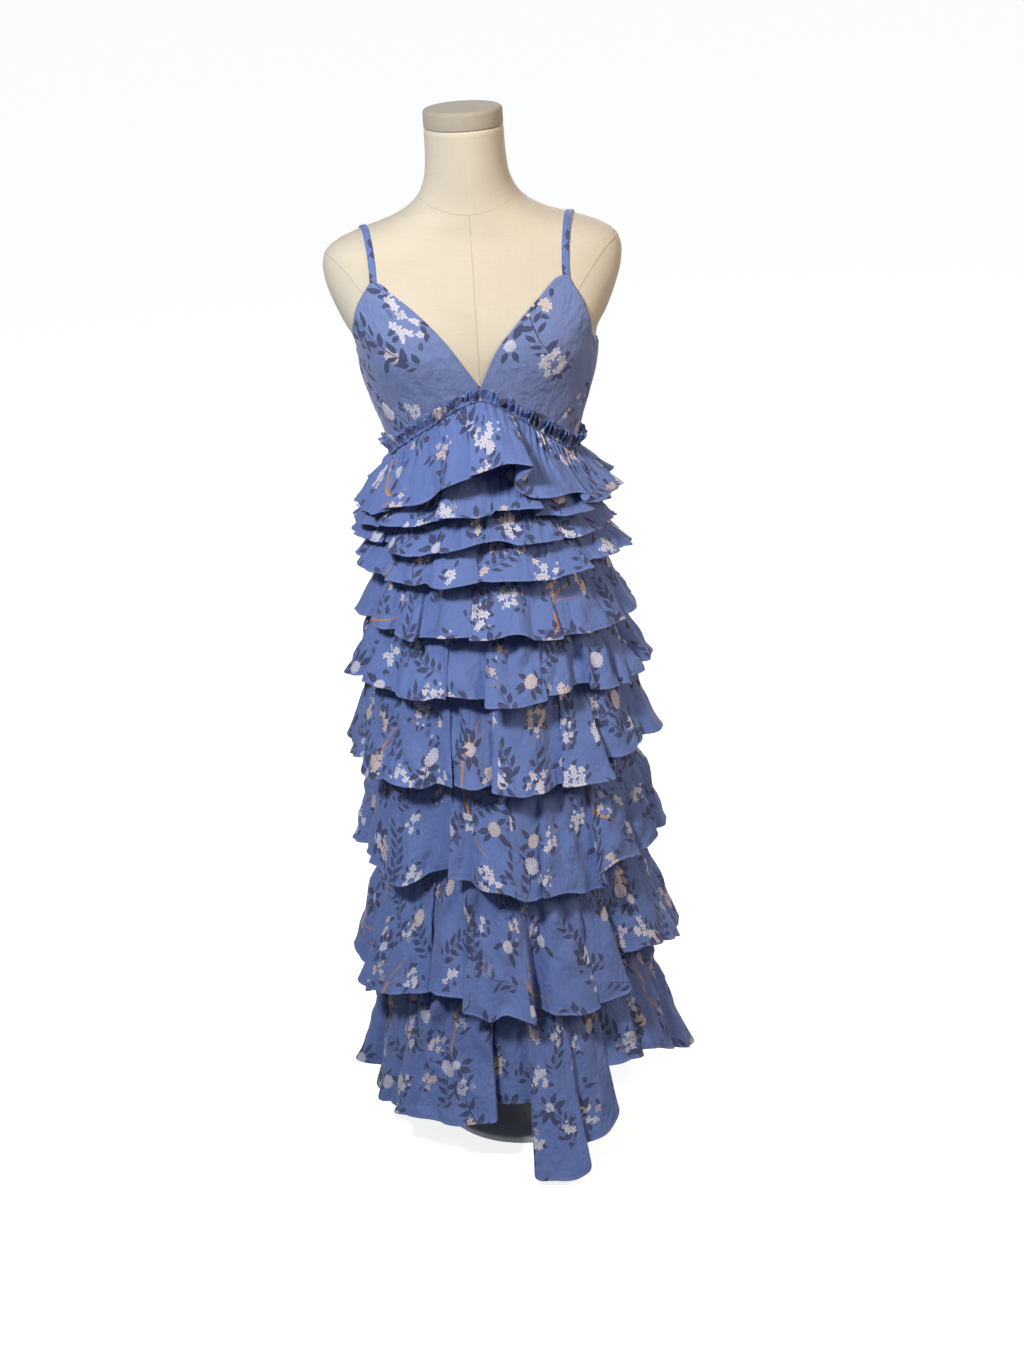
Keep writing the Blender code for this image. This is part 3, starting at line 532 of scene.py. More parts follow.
def capEnds(piece, columns, rows):  # closes the first and the last ring
    build = bmesh.new()
    build.from_mesh(piece.data)
    build.verts.ensure_lookup_table()
    build.faces.new([build.verts[i] for i in range(columns)])
    build.faces.new([build.verts[(rows - 1) * columns + i] for i in range(columns)])
    bmesh.ops.recalc_face_normals(build, faces=build.faces)
    build.to_mesh(piece.data)
    build.free()


def widened(values):  # one more column, which meets the first where a ring closes
    return np.concatenate([values, values[:, :1]], axis=1)


def ringGrid(rows, columns):  # the rows' values against angles all round
    return np.meshgrid(rows, np.linspace(0, 360, columns, endpoint=False), indexing="ij")


def outOf(angle):  # straight out at an angle
    return stack(np.sin(np.radians(angle)), -np.cos(np.radians(angle)), 0.0)


def flatWidths(points, closed):  # metres of cloth from the first column, along each row
    path = widened(points) if closed else points
    steps = np.linalg.norm(np.diff(path, axis=1), axis=2)
    start = np.zeros((len(points), 1))
    return np.concatenate([start, np.cumsum(steps, axis=1)], axis=1)


def flatLengths(points):  # metres of cloth up from the last row
    steps = np.linalg.norm(np.diff(points, axis=0), axis=2)
    down = np.concatenate([np.zeros((1, points.shape[1])), np.cumsum(steps, axis=0)])
    return down[-1:] - down


def addPiece(piece, slotName, *nodes):
    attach(piece, "root")
    if nodes:
        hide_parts(*nodes)


def declareSheet(points, closed):  # its flat size, from its own middle
    path = widened(points) if closed else points
    across, down = np.diff(path, axis=1), np.diff(path, axis=0)
    area = np.linalg.norm(np.cross(across[:-1], down[:, :-1]), axis=2).sum()
    width = np.linalg.norm(across[..., :2], axis=2).sum(axis=1).max()
    length = np.linalg.norm(down, axis=2).sum(axis=0).max()


# A cloth piece that stands for one CAD node, and hides that node.
def clothSheet(name, node, points, closed, across, along, edge, material, thickness):
    piece = gridPiece(name, points, closed, across, along, edge, material, thickness)
    addPiece(piece, "blue_cotton", node)
    declareSheet(points, closed)


def unit(vectors):
    return vectors / np.maximum(np.linalg.norm(vectors, axis=-1, keepdims=True), 1e-9)


def sweep(name, path, outward, section, material, edge=None):  # a section along an open path
    along = unit(np.gradient(path, axis=0))
    outward = unit(outward - along * (outward * along).sum(axis=1, keepdims=True))
    side = np.cross(along, outward)
    closed = edge is None
    across, out = section[None, :, :1], section[None, :, 1:]
    points = path[:, None] + side[:, None] * across + outward[:, None] * out
    length = np.concatenate([[0.0], np.cumsum(np.linalg.norm(np.diff(path, axis=0), axis=1))])
    marks = np.full(points.shape[:2], 0.05) if closed else np.broadcast_to(edge, points.shape[:2])
    width = flatWidths(points, closed)
    return gridPiece(name, points, closed, width, np.broadcast_to(length[:, None], width.shape),
                     marks, material)


# The dress form and its stand


formFinish = {"columns": 180, "rows": 120, "capRadius": 0.0505, "capFoot": 1.4400,
              "capHeight": 0.0248, "capBend": 0.0055, "capLip": 0.0016, "grooveDepth": 0.0016,
              "groove": (1.4372, 1.4392), "grooveRows": (1.4388, 1.4380, 1.4370),
              "seamSteps": 260, "roundColumns": 96}
formSeams = {  # each seam as angle and height at places along it
    "neck": ((-180, 1.3620), (-120, 1.3600), (-79, 1.3545), (-54, 1.3500), (-29, 1.3430),
             (-12, 1.3375), (0, 1.3360), (12, 1.3375), (29, 1.3420), (54, 1.3490), (79, 1.3535),
             (120, 1.3600), (180, 1.3620)),
    "front": ((0, 1.3358), (0, 1.2500), (0, 1.1300), (0, 1.0000), (0, 0.8000), (0, 0.5900)),
    "back": ((180, 1.3618), (180, 1.2500), (180, 1.1000), (180, 1.0000), (180, 0.5900)),
    "armholeRight": ((104, 1.2720), (92, 1.2855), (81, 1.2882), (69, 1.2850), (59, 1.2778),
                     (52, 1.2668), (47, 1.2540), (43, 1.2429), (40, 1.2250), (42, 1.1950),
                     (55, 1.1600)),
}
seamSection = ((-0.0013, -0.0003), (-0.0008, 0.00026), (-0.0003, 0.00024), (0.0, -0.00012),
               (0.0003, 0.00024), (0.0008, 0.00026), (0.0013, -0.0003))


def smoothLine(places, steps):  # an even, smooth path through the places
    places = np.array(places, float)
    knots, spots = np.arange(len(places)), np.linspace(0, len(places) - 1, steps)
    return [smoothCurve(knots, column, spots) for column in places.T]


def surfaceNormal(angle, height):
    step = 0.2, 0.0005
    around = formPoint(angle + step[0], height) - formPoint(angle - step[0], height)
    up = formPoint(angle, height + step[1]) - formPoint(angle, height - step[1])
    return unit(np.cross(around, up))


def makeForm(material):
    heights = np.linspace(formSections["height"][-1], formSections["height"][0],
                          formFinish["rows"])
    heights = np.insert(heights, 1, formFinish["grooveRows"])
    height, angle = ringGrid(heights, formFinish["columns"])
    groove = -formFinish["grooveDepth"] * smoothStep(*formFinish["groove"], height)
    points = formPoint(angle, height, groove)
    piece = gridPiece("form_cover", points, True, flatWidths(points, True), widened(height),
                      height, material)
    capEnds(piece, formFinish["columns"], len(heights))
    addPiece(piece, "cream_linen", "form_torso")


def makeFormSeams(material):
    seams = dict(formSeams)
    seams["armholeLeft"] = [(-angle, height) for angle, height in seams["armholeRight"]]
    section = np.array(seamSection)
    for name, places in seams.items():
        angle, height = smoothLine(places, formFinish["seamSteps"])
        piece = sweep(f"form_seam_{name}", formPoint(angle, height), surfaceNormal(angle, height),
                      section, material, np.abs(section[:, 0]))
        addPiece(piece, "cream_linen")


def roundPiece(name, profile, centre, material):  # profile: radius and height pairs
    columns = formFinish["roundColumns"]
    radii = np.array([r for r, _ in profile])[:, None]
    heights = np.array([z for _, z in profile])[:, None]
    turn = np.radians(np.linspace(0, 360, columns, endpoint=False))[None, :]
    points = stack(radii * np.sin(turn), centre - radii * np.cos(turn), heights)
    along = np.cumsum(np.hypot(np.diff(radii[:, 0], prepend=radii[0]),
                               np.diff(heights[:, 0], prepend=heights[0])))[:, None]
    across = flatWidths(points, True)
    piece = gridPiece(name, points, True, across, np.broadcast_to(along, across.shape),
                      np.broadcast_to(heights + 0.05, points.shape[:2]), material)
    capEnds(piece, columns, len(profile))
    return piece


def bend(radius, height, size, start, end, steps=8):  # a round corner of a profile
    turns = np.radians(np.linspace(start, end, steps))
    return [(radius + size * math.cos(a), height + size * math.sin(a)) for a in turns]


def makeCap(material):
    radius, foot = formFinish["capRadius"], formFinish["capFoot"]
    top = foot + formFinish["capHeight"]
    corner, lip = formFinish["capBend"], formFinish["capLip"]
    profile = [(0.002, top), (radius * 0.45, top - 0.0002), (radius * 0.75, top - 0.0008)]
    profile += bend(radius - corner, top - 0.0012 - corner, corner, 85, 0)
    profile += bend(radius - lip, foot + lip, lip, 0, -90, 5)
    profile.append((0.002, foot))
    centre = formSections["centre"][-1]
    addPiece(roundPiece("form_neck_cap_cover", profile, centre, material), "cream_linen",
             "form_neck_cap")


standFinish = {"poleRadius": 0.016, "poleFoot": 0.0103, "poleHead": 0.5847, "baseRadius": 0.125,
               "baseTop": 0.010, "baseEdge": 0.0032, "collarRadius": 0.027,
               "collarHeight": 0.016}


def makeStand(material):
    finish = standFinish
    pole, foot, edge = finish["poleRadius"], finish["poleFoot"], finish["baseEdge"]
    collarTop = foot + finish["collarHeight"]
    profile = [(0.002, finish["poleHead"]), (pole, finish["poleHead"]), (pole, collarTop + 0.003)]
    profile += bend(finish["collarRadius"] - 0.003, collarTop - 0.003, 0.003, 90, 0, 6)
    profile += [(finish["collarRadius"], foot), (0.002, foot)]
    addPiece(roundPiece("stand_pole_tube", profile, 0.0, material), "white_enamel", "stand_pole")
    reach, top = finish["baseRadius"], finish["baseTop"]
    profile = [(0.002, top), (reach * 0.6, top)]
    profile += bend(reach - edge, top - edge, edge, 90, 0)
    profile += bend(reach - 0.001, 0.001, 0.001, 0, -90, 4)
    profile.append((0.002, 0.0))
    addPiece(roundPiece("stand_base_plate", profile, 0.0, material), "white_enamel", "stand_base")


# The bodice


panelFinish = {"columns": 48, "bodyRows": 40, "seamWidth": 0.0030, "seamDip": 0.0008,
               "edgeRidge": 0.00045, "edgeRoll": 0.0007, "printHeight": 1.130}
edgeSteps = np.array((0.0085, 0.0065, 0.0050, 0.0038, 0.0028, 0.0019, 0.0012, 0.0006, 0.0))
printShifts = {"cup_right": (0.610, 0.300), "cup_left": (0.150, 0.580),
               "side_panel_right": (0.900, 0.200), "side_panel_left": (1.300, 0.400),
               "back_right": (1.700, 0.100), "back_left": (2.100, 0.300)}


def frontArc(angle):  # metres round the form from centre front, at one height
    turns = np.linspace(-180, 180, 721)
    points = formPoint(turns, np.full(721, panelFinish["printHeight"]))
    reach = np.concatenate([[0.0], np.cumsum(np.linalg.norm(np.diff(points, axis=0), axis=1))])
    return np.interp(angle, turns, reach - reach[360])


def dragWrinkles(angle, height):  # faint pulls under the bust and from the armhole
    under = np.exp(-(((height - 1.105) / 0.030) ** 2))
    pulls = np.sin(signedAngle(angle) * 0.50 + height * 150.0)
    armhole = np.exp(-(((np.abs(signedAngle(angle)) - 72) / 16) ** 2)) * np.exp(
        -(((height - 1.165) / 0.035) ** 2))
    slant = np.sin(np.abs(signedAngle(angle)) * 0.32 - height * 210.0)
    return 0.00045 * pulls * under + 0.00055 * slant * armhole


def panelPiece(name, footAngles, headAngles, mirror, material):
    share = np.linspace(0, 1, panelFinish["columns"])
    if mirror < 0:
        share = share[::-1]
    feet = footAngles[0] + (footAngles[1] - footAngles[0]) * share
    heads = headAngles[0] + (headAngles[1] - headAngles[0]) * share
    low = empireSeam(mirror * feet) + seamGap / 2
    high = bodiceTop(mirror * heads)
    steps = edgeSteps[:, None] * np.minimum((high - low) / 0.02, 1.0)
    body = np.linspace(0, 1, panelFinish["bodyRows"], endpoint=False)[:, None]
    body = low + (high - steps[:1] - low) * body
    height = np.concatenate([body, high - steps])[::-1]
    angle = mirror * (feet + (heads - feet) * (height - low) / (high - low))
    middle = bodice["ease"] + bodice["wall"] / 2
    flat = formPoint(angle, height, middle)
    width = flatWidths(flat, False)
    fromSeam = np.minimum(width, width[:, -1:] - width)
    length = flatLengths(flat)
    fromTop = length[:1] - length
    dip = -panelFinish["seamDip"] * np.exp(-((fromSeam / panelFinish["seamWidth"]) ** 2))
    ridge = panelFinish["edgeRidge"] * np.exp(-(((fromTop - 0.0038) / 0.0024) ** 2))
    roll = -panelFinish["edgeRoll"] * (1 - smoothStep(0.0, 0.0022, fromTop))
    points = formPoint(angle, height, middle + dip + ridge + roll + dragWrinkles(angle, height))
    shift = printShifts[name]
    clothSheet(f"{name}_cloth", name, points, False, frontArc(angle) + shift[0],
               height + shift[1], fromTop + plainEdge, material, bodice["thickness"])


def makeBodice(material):
    gap = bodice["seamAngle"]
    foot, top, side = bodice["princessFoot"], bodice["princessTop"], bodice["sideAngle"]
    for word, mirror in (("right", 1), ("left", -1)):
        panelPiece(f"cup_{word}", (gap, foot - gap), (gap, top - gap), mirror, material)
        panelPiece(f"side_panel_{word}", (foot + gap, side - gap), (top + gap, side - gap),
                   mirror, material)
        panelPiece(f"back_{word}", (side + gap, 180 - gap), (side + gap, 180 - gap), mirror,
                   material)


strapFinish = {"width": 0.0092, "thickness": 0.0021, "tuck": 0.011, "tuckOut": 0.0012,
               "rounds": 16, "steps": 150}


def strapRings(node):  # the middles of the CAD strap's rings, front foot to back foot
    core = np.array((0.008, 1.215))
    corners = np.array([vertex.co for vertex in node.data.vertices])
    corners = np.unique(np.round(corners, 5), axis=0)
    turn = np.arctan2(corners[:, 2] - core[1], -(corners[:, 1] - core[0]))
    turn = np.where(turn < -1.6, turn + 2 * math.pi, turn)
    corners = corners[np.argsort(turn)]
    return corners.reshape(-1, 4, 3).mean(axis=1)


def tuckedEnd(end, behind):  # where the strap goes on behind the edge it is sewn to
    angles = np.linspace(100, 175, 300) if behind else np.linspace(15, 80, 300)
    height = end[2] - strapFinish["tuck"]
    spots = formPoint(angles, np.full(300, height), strapFinish["tuckOut"])
    nearest = np.argmin(np.abs(spots[:, 0] - abs(end[0])))
    return spots[nearest] * (math.copysign(1, end[0]), 1, 1)


def makeStraps(material):
    turns = np.linspace(0, 2 * math.pi, strapFinish["rounds"], endpoint=False)
    section = stack(np.sign(np.cos(turns)) * np.abs(np.cos(turns)) ** 0.7 * strapFinish["width"] / 2,
                    np.sin(turns) * strapFinish["thickness"] / 2, 0.0)[:, :2]
    for word in ("left", "right"):
        rings = strapRings(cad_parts[f"strap_{word}"])
        rings = np.concatenate([[tuckedEnd(rings[0], False)], rings,
                                [tuckedEnd(rings[-1], True)]])
        path = np.stack(smoothLine(rings, strapFinish["steps"]), axis=1)
        outward = unit(path - np.array((path[:, 0].mean(), 0.008, 1.215)))
        piece = sweep(f"strap_{word}_tube", path, outward, section, material)
        capEnds(piece, strapFinish["rounds"], strapFinish["steps"])
        addPiece(piece, "blue_cotton", f"strap_{word}")


# The ruffles


ruffle = {
    "thickness": 0.0007,
    "middle": 0.00075,  # from the CAD wall's inner face to this cloth's middle
    "sharpness": 0.25,
    "broad": 0.40,  # the share of folds of twice the width, so that no two neighbours are alike
    "spread": 0.50,  # how far crests broaden and troughs narrow
    "unevenWave": 0.26,
    "calm": 0.8,
    "waveGrowth": 1.20,
    "flareGrowth": 1.20,
    "gatherDepth": 0.0062,
    "gatherFade": 0.025,
    "unevenGather": 0.45,
    "creaseDepth": (0.38, 0.10),  # shares of the tier's depth: at its seam, and all the way down
    "creaseFade": 0.120,
    "rippleDepth": 0.0014,
    "clearance": 0.0030,
    "frontShape": 3.0,
    "firstDrop": 0.0035,
    "columns": 660,
    "bodyRows": 15,
    "hemRoll": 0.00045,
    "hemBand": 0.016,
    "printStep": (0.37, 0.53),  # how far each ruffle's print is moved from the next one's
}
hemSteps = np.array((0.0100, 0.0065, 0.0042, 0.0033, 0.0024, 0.0010, 0.0))
tierNames = ("seam", "seamLift", "hem", "sideReach", "frontReach", "waves", "depth", "phase",
             "unevenness")
tiers = [dict(zip(tierNames, row)) for row in (
    (1.028, 0.094, 0.955, 0.180, 0.152, 12, 0.0090, 10.0, 0.5),
    (0.995, 0.040, 0.930, 0.176, 0.149, 12, 0.0080, 31.0, 0.4),
    (0.962, 0.022, 0.909, 0.174, 0.147, 12, 0.0085, 4.0, 0.5),
    (0.938, 0.006, 0.873, 0.187, 0.157, 14, 0.0100, 21.0, 0.4),
    (0.893, 0.000, 0.795, 0.194, 0.164, 18, 0.0110, -8.0, 0.5),
    (0.815, 0.000, 0.714, 0.211, 0.175, 18, 0.0145, 13.0, 0.4),
    (0.738, 0.000, 0.588, 0.221, 0.187, 16, 0.0170, -4.0, 0.5),
    (0.622, 0.000, 0.440, 0.223, 0.193, 16, 0.0180, 8.0, 0.4),
    (0.470, 0.000, 0.265, 0.245, 0.207, 18, 0.0220, 5.0, 0.5),
    (0.300, 0.000, 0.080, 0.245, 0.214, 16, 0.0260, -14.0, 0.4),
)]
# The hem's height at places round the front, as the photo shows it: angle, then height.
hemHeights = (
    ((-90, .955), (-58, .961), (-32, .984), (-20, 1.002), (-7, 1.026), (6, 1.041), (13, 1.036),
     (18, 1.012), (24, .985), (40, .979), (54, .960), (90, .955)),
    ((-90, .932), (-49, .946), (-24, .959), (-16, .968), (0, .967), (5, .974), (19, .971),
     (23, .957), (40, .951), (58, .954), (90, .930)),
    ((-90, .912), (-64, .915), (-48, .910), (-18, .918), (-6, .930), (2, .931), (11, .926),
     (27, .922), (50, .916), (68, .917), (90, .909)),
    ((-90, .884), (-68, .878), (-51, .870), (-20, .873), (-12, .878), (7, .879), (24, .873),
     (44, .881), (63, .880), (90, .873)),
    ((-90, .804), (-54, .802), (-32, .798), (-15, .806), (-5, .802), (8, .808), (17, .794),
     (32, .792), (58, .785), (73, .784), (90, .790)),
    ((-90, .711), (-63, .724), (-38, .718), (-19, .722), (1, .712), (10, .709), (18, .716),
     (35, .717), (44, .708), (57, .701), (74, .708), (90, .712)),
    ((-90, .583), (-67, .600), (-60, .588), (-46, .596), (-32, .591), (-23, .599), (-8, .596),
     (8, .583), (24, .585), (34, .586), (39, .605), (54, .605), (57, .612), (77, .612),
     (90, .600)),
    ((-90, .450), (-64, .452), (-48, .436), (-33, .456), (-25, .466), (-17, .452), (-3, .447),
     (6, .428), (15, .434), (28, .422), (35, .437), (41, .460), (53, .445), (72, .452),
     (90, .450)),
    ((-90, .285), (-75, .262), (-62, .255), (-56, .260), (-39, .279), (-24, .288), (-17, .267),
     (-10, .253), (-5, .266), (4, .240), (9, .253), (23, .249), (34, .255), (38, .266),
     (43, .298), (52, .310), (62, .304), (90, .265)),
    ((-90, .090), (-68, .058), (-57, .062), (-41, .078), (-24, .081), (-14, .095), (-3, .108),
     (-0.5, .106), (2, .020), (6, .012), (12, .013), (15, .022), (18, .040), (27, .058),
     (31, .075), (34, .115), (38, .140), (52, .140), (67, .113), (90, .073)),
)
# Each tier's single folds that stand out or in: angle, spread and how far out in mm.
folds = {
    1: ((0, 14, 16), (12, 6, 10), (-52, 8, 4)),
    2: ((-90, 30, 9), (90, 30, -6)),
    3: ((-90, 30, 14), (90, 30, -9)),
    7: ((-21, 4, -12), (17, 5, -10)),
    8: ((-29, 6, -12), (5, 7, 6), (31, 6, 10)),
    9: ((-14, 7, 6), (4, 5, 6), (46, 9, -12)),
    10: ((-66, 14, -10), (-5, 5, -26), (10, 6.5, 36), (25, 6, 12), (38, 6, -22), (57, 14, -12)),
}
# Each tier's folds that lap over: angle, spread, then in mm how far over (to the right if
# over 0) and how deep.
laps = {
    1: ((-6, 2.6, -10, 5), (16.5, 3.2, 17, 10), (47, 3, 10, 5), (-45, 3, -9, 4), (150, 3, 10, 5),
        (205, 3, -10, 5)),
    2: ((-20, 2.6, -11, 5), (21, 2.6, 11, 6), (-53, 3, 9, 4), (48, 3, 9, 4), (165, 3, -10, 5)),
    3: ((-2.5, 2.4, -10, 5), (56, 3, 9, 4), (-64, 3, -9, 4), (190, 3, 10, 5)),
    4: ((-9, 2.4, -12, 6), (41, 3, 12, 6), (-49, 3, 9, 4), (140, 3, 10, 5), (215, 3, -10, 5)),
    5: ((-9.5, 2.4, -12, 6), (-35.5, 2.6, 10, 5), (25.5, 2.6, 10, 5), (50.5, 3, 11, 6),
        (172, 3, -10, 5), (232, 3, 10, 5)),
    6: ((-20, 2.6, 12, 7), (-4.5, 2.2, -10, 7), (17, 2.6, 10, 6), (38.5, 2.8, 13, 7), (-60, 3, -10, 5),
        (155, 3, 11, 6), (200, 3, -11, 6)),
    7: ((-20, 2.6, 14, 10), (-3.5, 2.4, -12, 6), (24, 2.6, 12, 7), (36.5, 2.4, 14, 7), (-47, 3, -10, 5),
        (120, 3, 12, 7), (180, 3, -12, 7), (240, 3, 12, 7)),
    8: ((-24, 2.4, -14, 8), (34.5, 2.6, 13, 8), (52.5, 2.8, 13, 7), (-64, 3, -11, 6),
        (11.5, 2.8, -9, 6), (145, 3, -12, 7), (195, 3, 13, 7), (250, 3, -11, 6)),
    9: ((-36, 2.4, 14, 10), (-19.5, 2.4, -12, 6), (3, 2.4, 10, 7), (26.5, 2.6, 13, 8),
        (38.5, 2.6, 14, 8), (-62, 3, -11, 6), (130, 3, 13, 8), (175, 3, -13, 8), (222, 3, 13, 8)),
    10: ((-12.5, 2.6, 16, 12), (1, 2.4, -14, 12), (18, 2.6, 12, 8), (33, 2.8, 14, 9), (-42, 3, -10, 6),
         (115, 3.2, 14, 9), (160, 3.2, -14, 9), (210, 3.2, 14, 9), (255, 3.2, -13, 8)),
}
# Places where a ruffle hangs flatter: angle and spread.
calms = {
    4: ((15, 12),),
    5: ((8, 8),),
    6: ((5, 8), (-38, 9)),
    7: ((-40, 12), (10, 7), (165, 12)),
    8: ((4, 11), (-44, 9), (210, 14)),
    9: ((-52, 9), (-9, 6), (60, 12), (150, 14)),
    10: ((-36, 13), (9.5, 8), (60, 14), (190, 16)),
}
unevenSpacing = ((3, 1.0, 1.0), (5, 0.6, 2.1))
unevenDepth = ((2, 0.22, 1.0), (7, 0.15, -1.0))


def rippleSum(waves, tier, angle):
    turn = np.radians(angle)
    return sum(high * np.sin(count * turn + shift * tier["phase"]) for count, high, shift in waves)


def softNoise(seed, angle, low, high, along=0.0, lean=0.0):  # uneven, and the same each run
    lots = np.random.default_rng(seed)
    total = 0.0
    for turns in lots.integers(low, high, 9):
        slant = lots.uniform(-lean, lean) * along
        total = total + np.sin(turns * np.radians(angle) + slant + lots.uniform(0, 6.28))
    return total / 3.0


def tierSeam(number, angle):
    if number == 1:
        return empireSeam(angle) - ruffle["firstDrop"]
    tier = tiers[number - 1]
    front = np.maximum(np.cos(np.radians(angle)), 0.0) ** ruffle["frontShape"]
    return tier["seam"] + tier["seamLift"] * front


def hemHeight(number, angle):
    turn = signedAngle(angle)
    shown = smoothTable(hemHeights[number - 1], turn)
    behind = tiers[number - 1]["hem"] + 0.007 * np.sin(3 * np.radians(angle) + number)
    behind = behind + 0.006 * softNoise(300 + number, angle, 5, 14)
    return behind + (shown - behind) * (1 - smoothStep(80.0, 110.0, np.abs(turn)))


def creaseNoise(seed, angle, low, high, along, lean):  # sharp valleys between soft crests
    return np.abs(softNoise(seed, angle, low, high, along, lean)) - 0.5


def tierPoints(number, angle, t):  # the ruffle's inner face, t from 0 at its seam to 1 at its hem
    tier = tiers[number - 1]
    turn = np.radians(angle)
    seam, hem = tierSeam(number, angle), hemHeight(number, angle)
    uneven = tier["unevenness"] * rippleSum(unevenSpacing, tier, angle)
    phase = tier["waves"] * np.radians(angle - tier["phase"]) + math.pi + uneven
    wave = np.cos(phase) - ruffle["sharpness"] * np.cos(2 * phase)
    broad = ruffle["broad"]
    wave = (1 - broad) * wave + broad * np.cos(0.5 * phase + 0.9 * number)
    unevenWave = 1 + ruffle["unevenWave"] * softNoise(400 + number, angle, 3, 9)
    for middle, spread in calms.get(number, ()):
        unevenWave = unevenWave * (1 - ruffle["calm"] * bell(angle, middle, spread))
    depth = tier["depth"] * (1 + rippleSum(unevenDepth, tier, angle))
    out = depth * unevenWave * (wave - (1 - ruffle["sharpness"]))
    for middle, spread, foldOut in folds.get(number, ()):
        out = out + foldOut / 1000 * bell(angle, middle, spread)
    grown = t ** ruffle["waveGrowth"]
    reach = 0.5 * (tier["sideReach"] + tier["frontReach"])
    over = ruffle["spread"] * unevenWave * reach / tier["waves"] * np.sin(phase)
    for middle, spread, lapOver, lapDeep in laps[number]:
        near = signedAngle(angle - middle) / spread
        swing = near * np.exp(0.5 - 0.5 * near**2)
        over = over - abs(lapOver / 1000) * swing
        out = out - lapDeep / 1000 * np.sign(lapOver) * swing
    drop = (seam - hem) * t
    gathers = creaseNoise(100 + number, angle, 34, 76, drop * 16, 5.0)
    unevenGather = 1 + ruffle["unevenGather"] * softNoise(150 + number, angle, 4, 15)
    gatherDepth = ruffle["gatherDepth"] * unevenGather * np.exp(-drop / ruffle["gatherFade"])
    gatherDepth = gatherDepth * smoothStep(0.0, 0.006, drop)
    creases = creaseNoise(200 + number, angle, 8, 30, drop * 22, 4.0)
    atSeam, throughout = ruffle["creaseDepth"]
    creaseDepth = tier["depth"] * (atSeam * np.exp(-drop / ruffle["creaseFade"]) + throughout)
    creaseDepth = creaseDepth * smoothStep(0.004, 0.034, drop)
    ripples = ruffle["rippleDepth"] * softNoise(250 + number, angle, 6, 26, drop * 34, 5.0) * grown
    out = out * grown + gathers * gatherDepth + creases * creaseDepth + ripples
    outX, outY = np.sin(turn) / tier["sideReach"], -np.cos(turn) / tier["frontReach"]
    length = np.hypot(outX, outY)
    outward = stack(outX / length, outY / length, 0.0)
    sideways = stack(-outward[..., 1], outward[..., 0], 0.0)
    top = clothPoint(angle, seam, seamGap + 0.0006)
    bottom = stack(tier["sideReach"] * np.sin(turn), -tier["frontReach"] * np.cos(turn), hem)
    points = top + (bottom - top) * (t ** ruffle["flareGrowth"])[..., None]
    points[..., 2] = seam + (hem - seam) * t
    return points + outward * out[..., None] + sideways * (over * grown)[..., None]


class Envelope:  # how far the ruffles made so far stand out, by direction and height
    def __init__(self, turns=720, step=0.004, top=1.16):
        self.turns = turns
        self.step = step
        self.reach = np.zeros((int(top / step), turns))

    def cell(self, points):
        turn = np.degrees(np.arctan2(points[..., 0], -points[..., 1])) % 360
        column = (turn / 360 * self.turns).astype(int) % self.turns
        row = np.clip((points[..., 2] / self.step).astype(int), 0, len(self.reach) - 1)
        return row, column

    def add(self, points):
        for share in np.linspace(0, 1, 6, endpoint=False):
            between = points[:-1] + (points[1:] - points[:-1]) * share
            np.maximum.at(self.reach, self.cell(between), np.hypot(between[..., 0], between[..., 1]))

    def push(self, points, clearance):  # moves points straight out until they clear it
        near = self.reach
        for shift in (-3, -2, -1, 1, 2, 3):
            near = np.maximum(near, np.roll(self.reach, shift, axis=1))
        near = np.maximum(near, np.maximum(np.roll(near, 1, 0), np.roll(near, -1, 0)))
        radius = np.hypot(points[..., 0], points[..., 1])
        need = np.maximum(near[self.cell(points)] + clearance - radius, 0.0)
        spread = need
        for shift in range(-9, 10):
            spread = np.maximum(spread, np.roll(need, shift, axis=1))
        kernel = np.hanning(15) / np.hanning(15).sum()
        smooth = sum(k * np.roll(spread, i - 7, axis=1) for i, k in enumerate(kernel))
        smooth = np.maximum(smooth, need)
        outward = points[..., :2] / radius[..., None]
        points = points.copy()
        points[..., :2] += outward * smooth[..., None]
        return points


stitchSizes = {"pitch": 0.0030, "stitchLength": 0.0019, "threadRadius": 0.00020}


def hemStitches(name, path, outward, material):
    steps = path + outward * ruffle["hemRoll"]
    mesh = bpy.data.meshes.new(name)
    count = len(steps)
    mesh.from_pydata(steps.tolist(), [(i, (i + 1) % count) for i in range(count)], [])
    line = bpy.data.objects.new(name, mesh)
    bpy.context.scene.collection.objects.link(line)
    stitched = line.modifiers.new("stitches", "NODES")
    stitched.node_group = stitchTree(material)
    for socket in stitched.node_group.interface.items_tree:
        if socket.name in stitchSizes:
            stitched[socket.identifier] = stitchSizes[socket.name]
    bpy.context.view_layer.update()
    made = bpy.data.meshes.new_from_object(line.evaluated_get(
        bpy.context.evaluated_depsgraph_get()))
    line.modifiers.remove(stitched)
    line.data = made
    made.name = name
    addPiece(line, "blue_cotton")


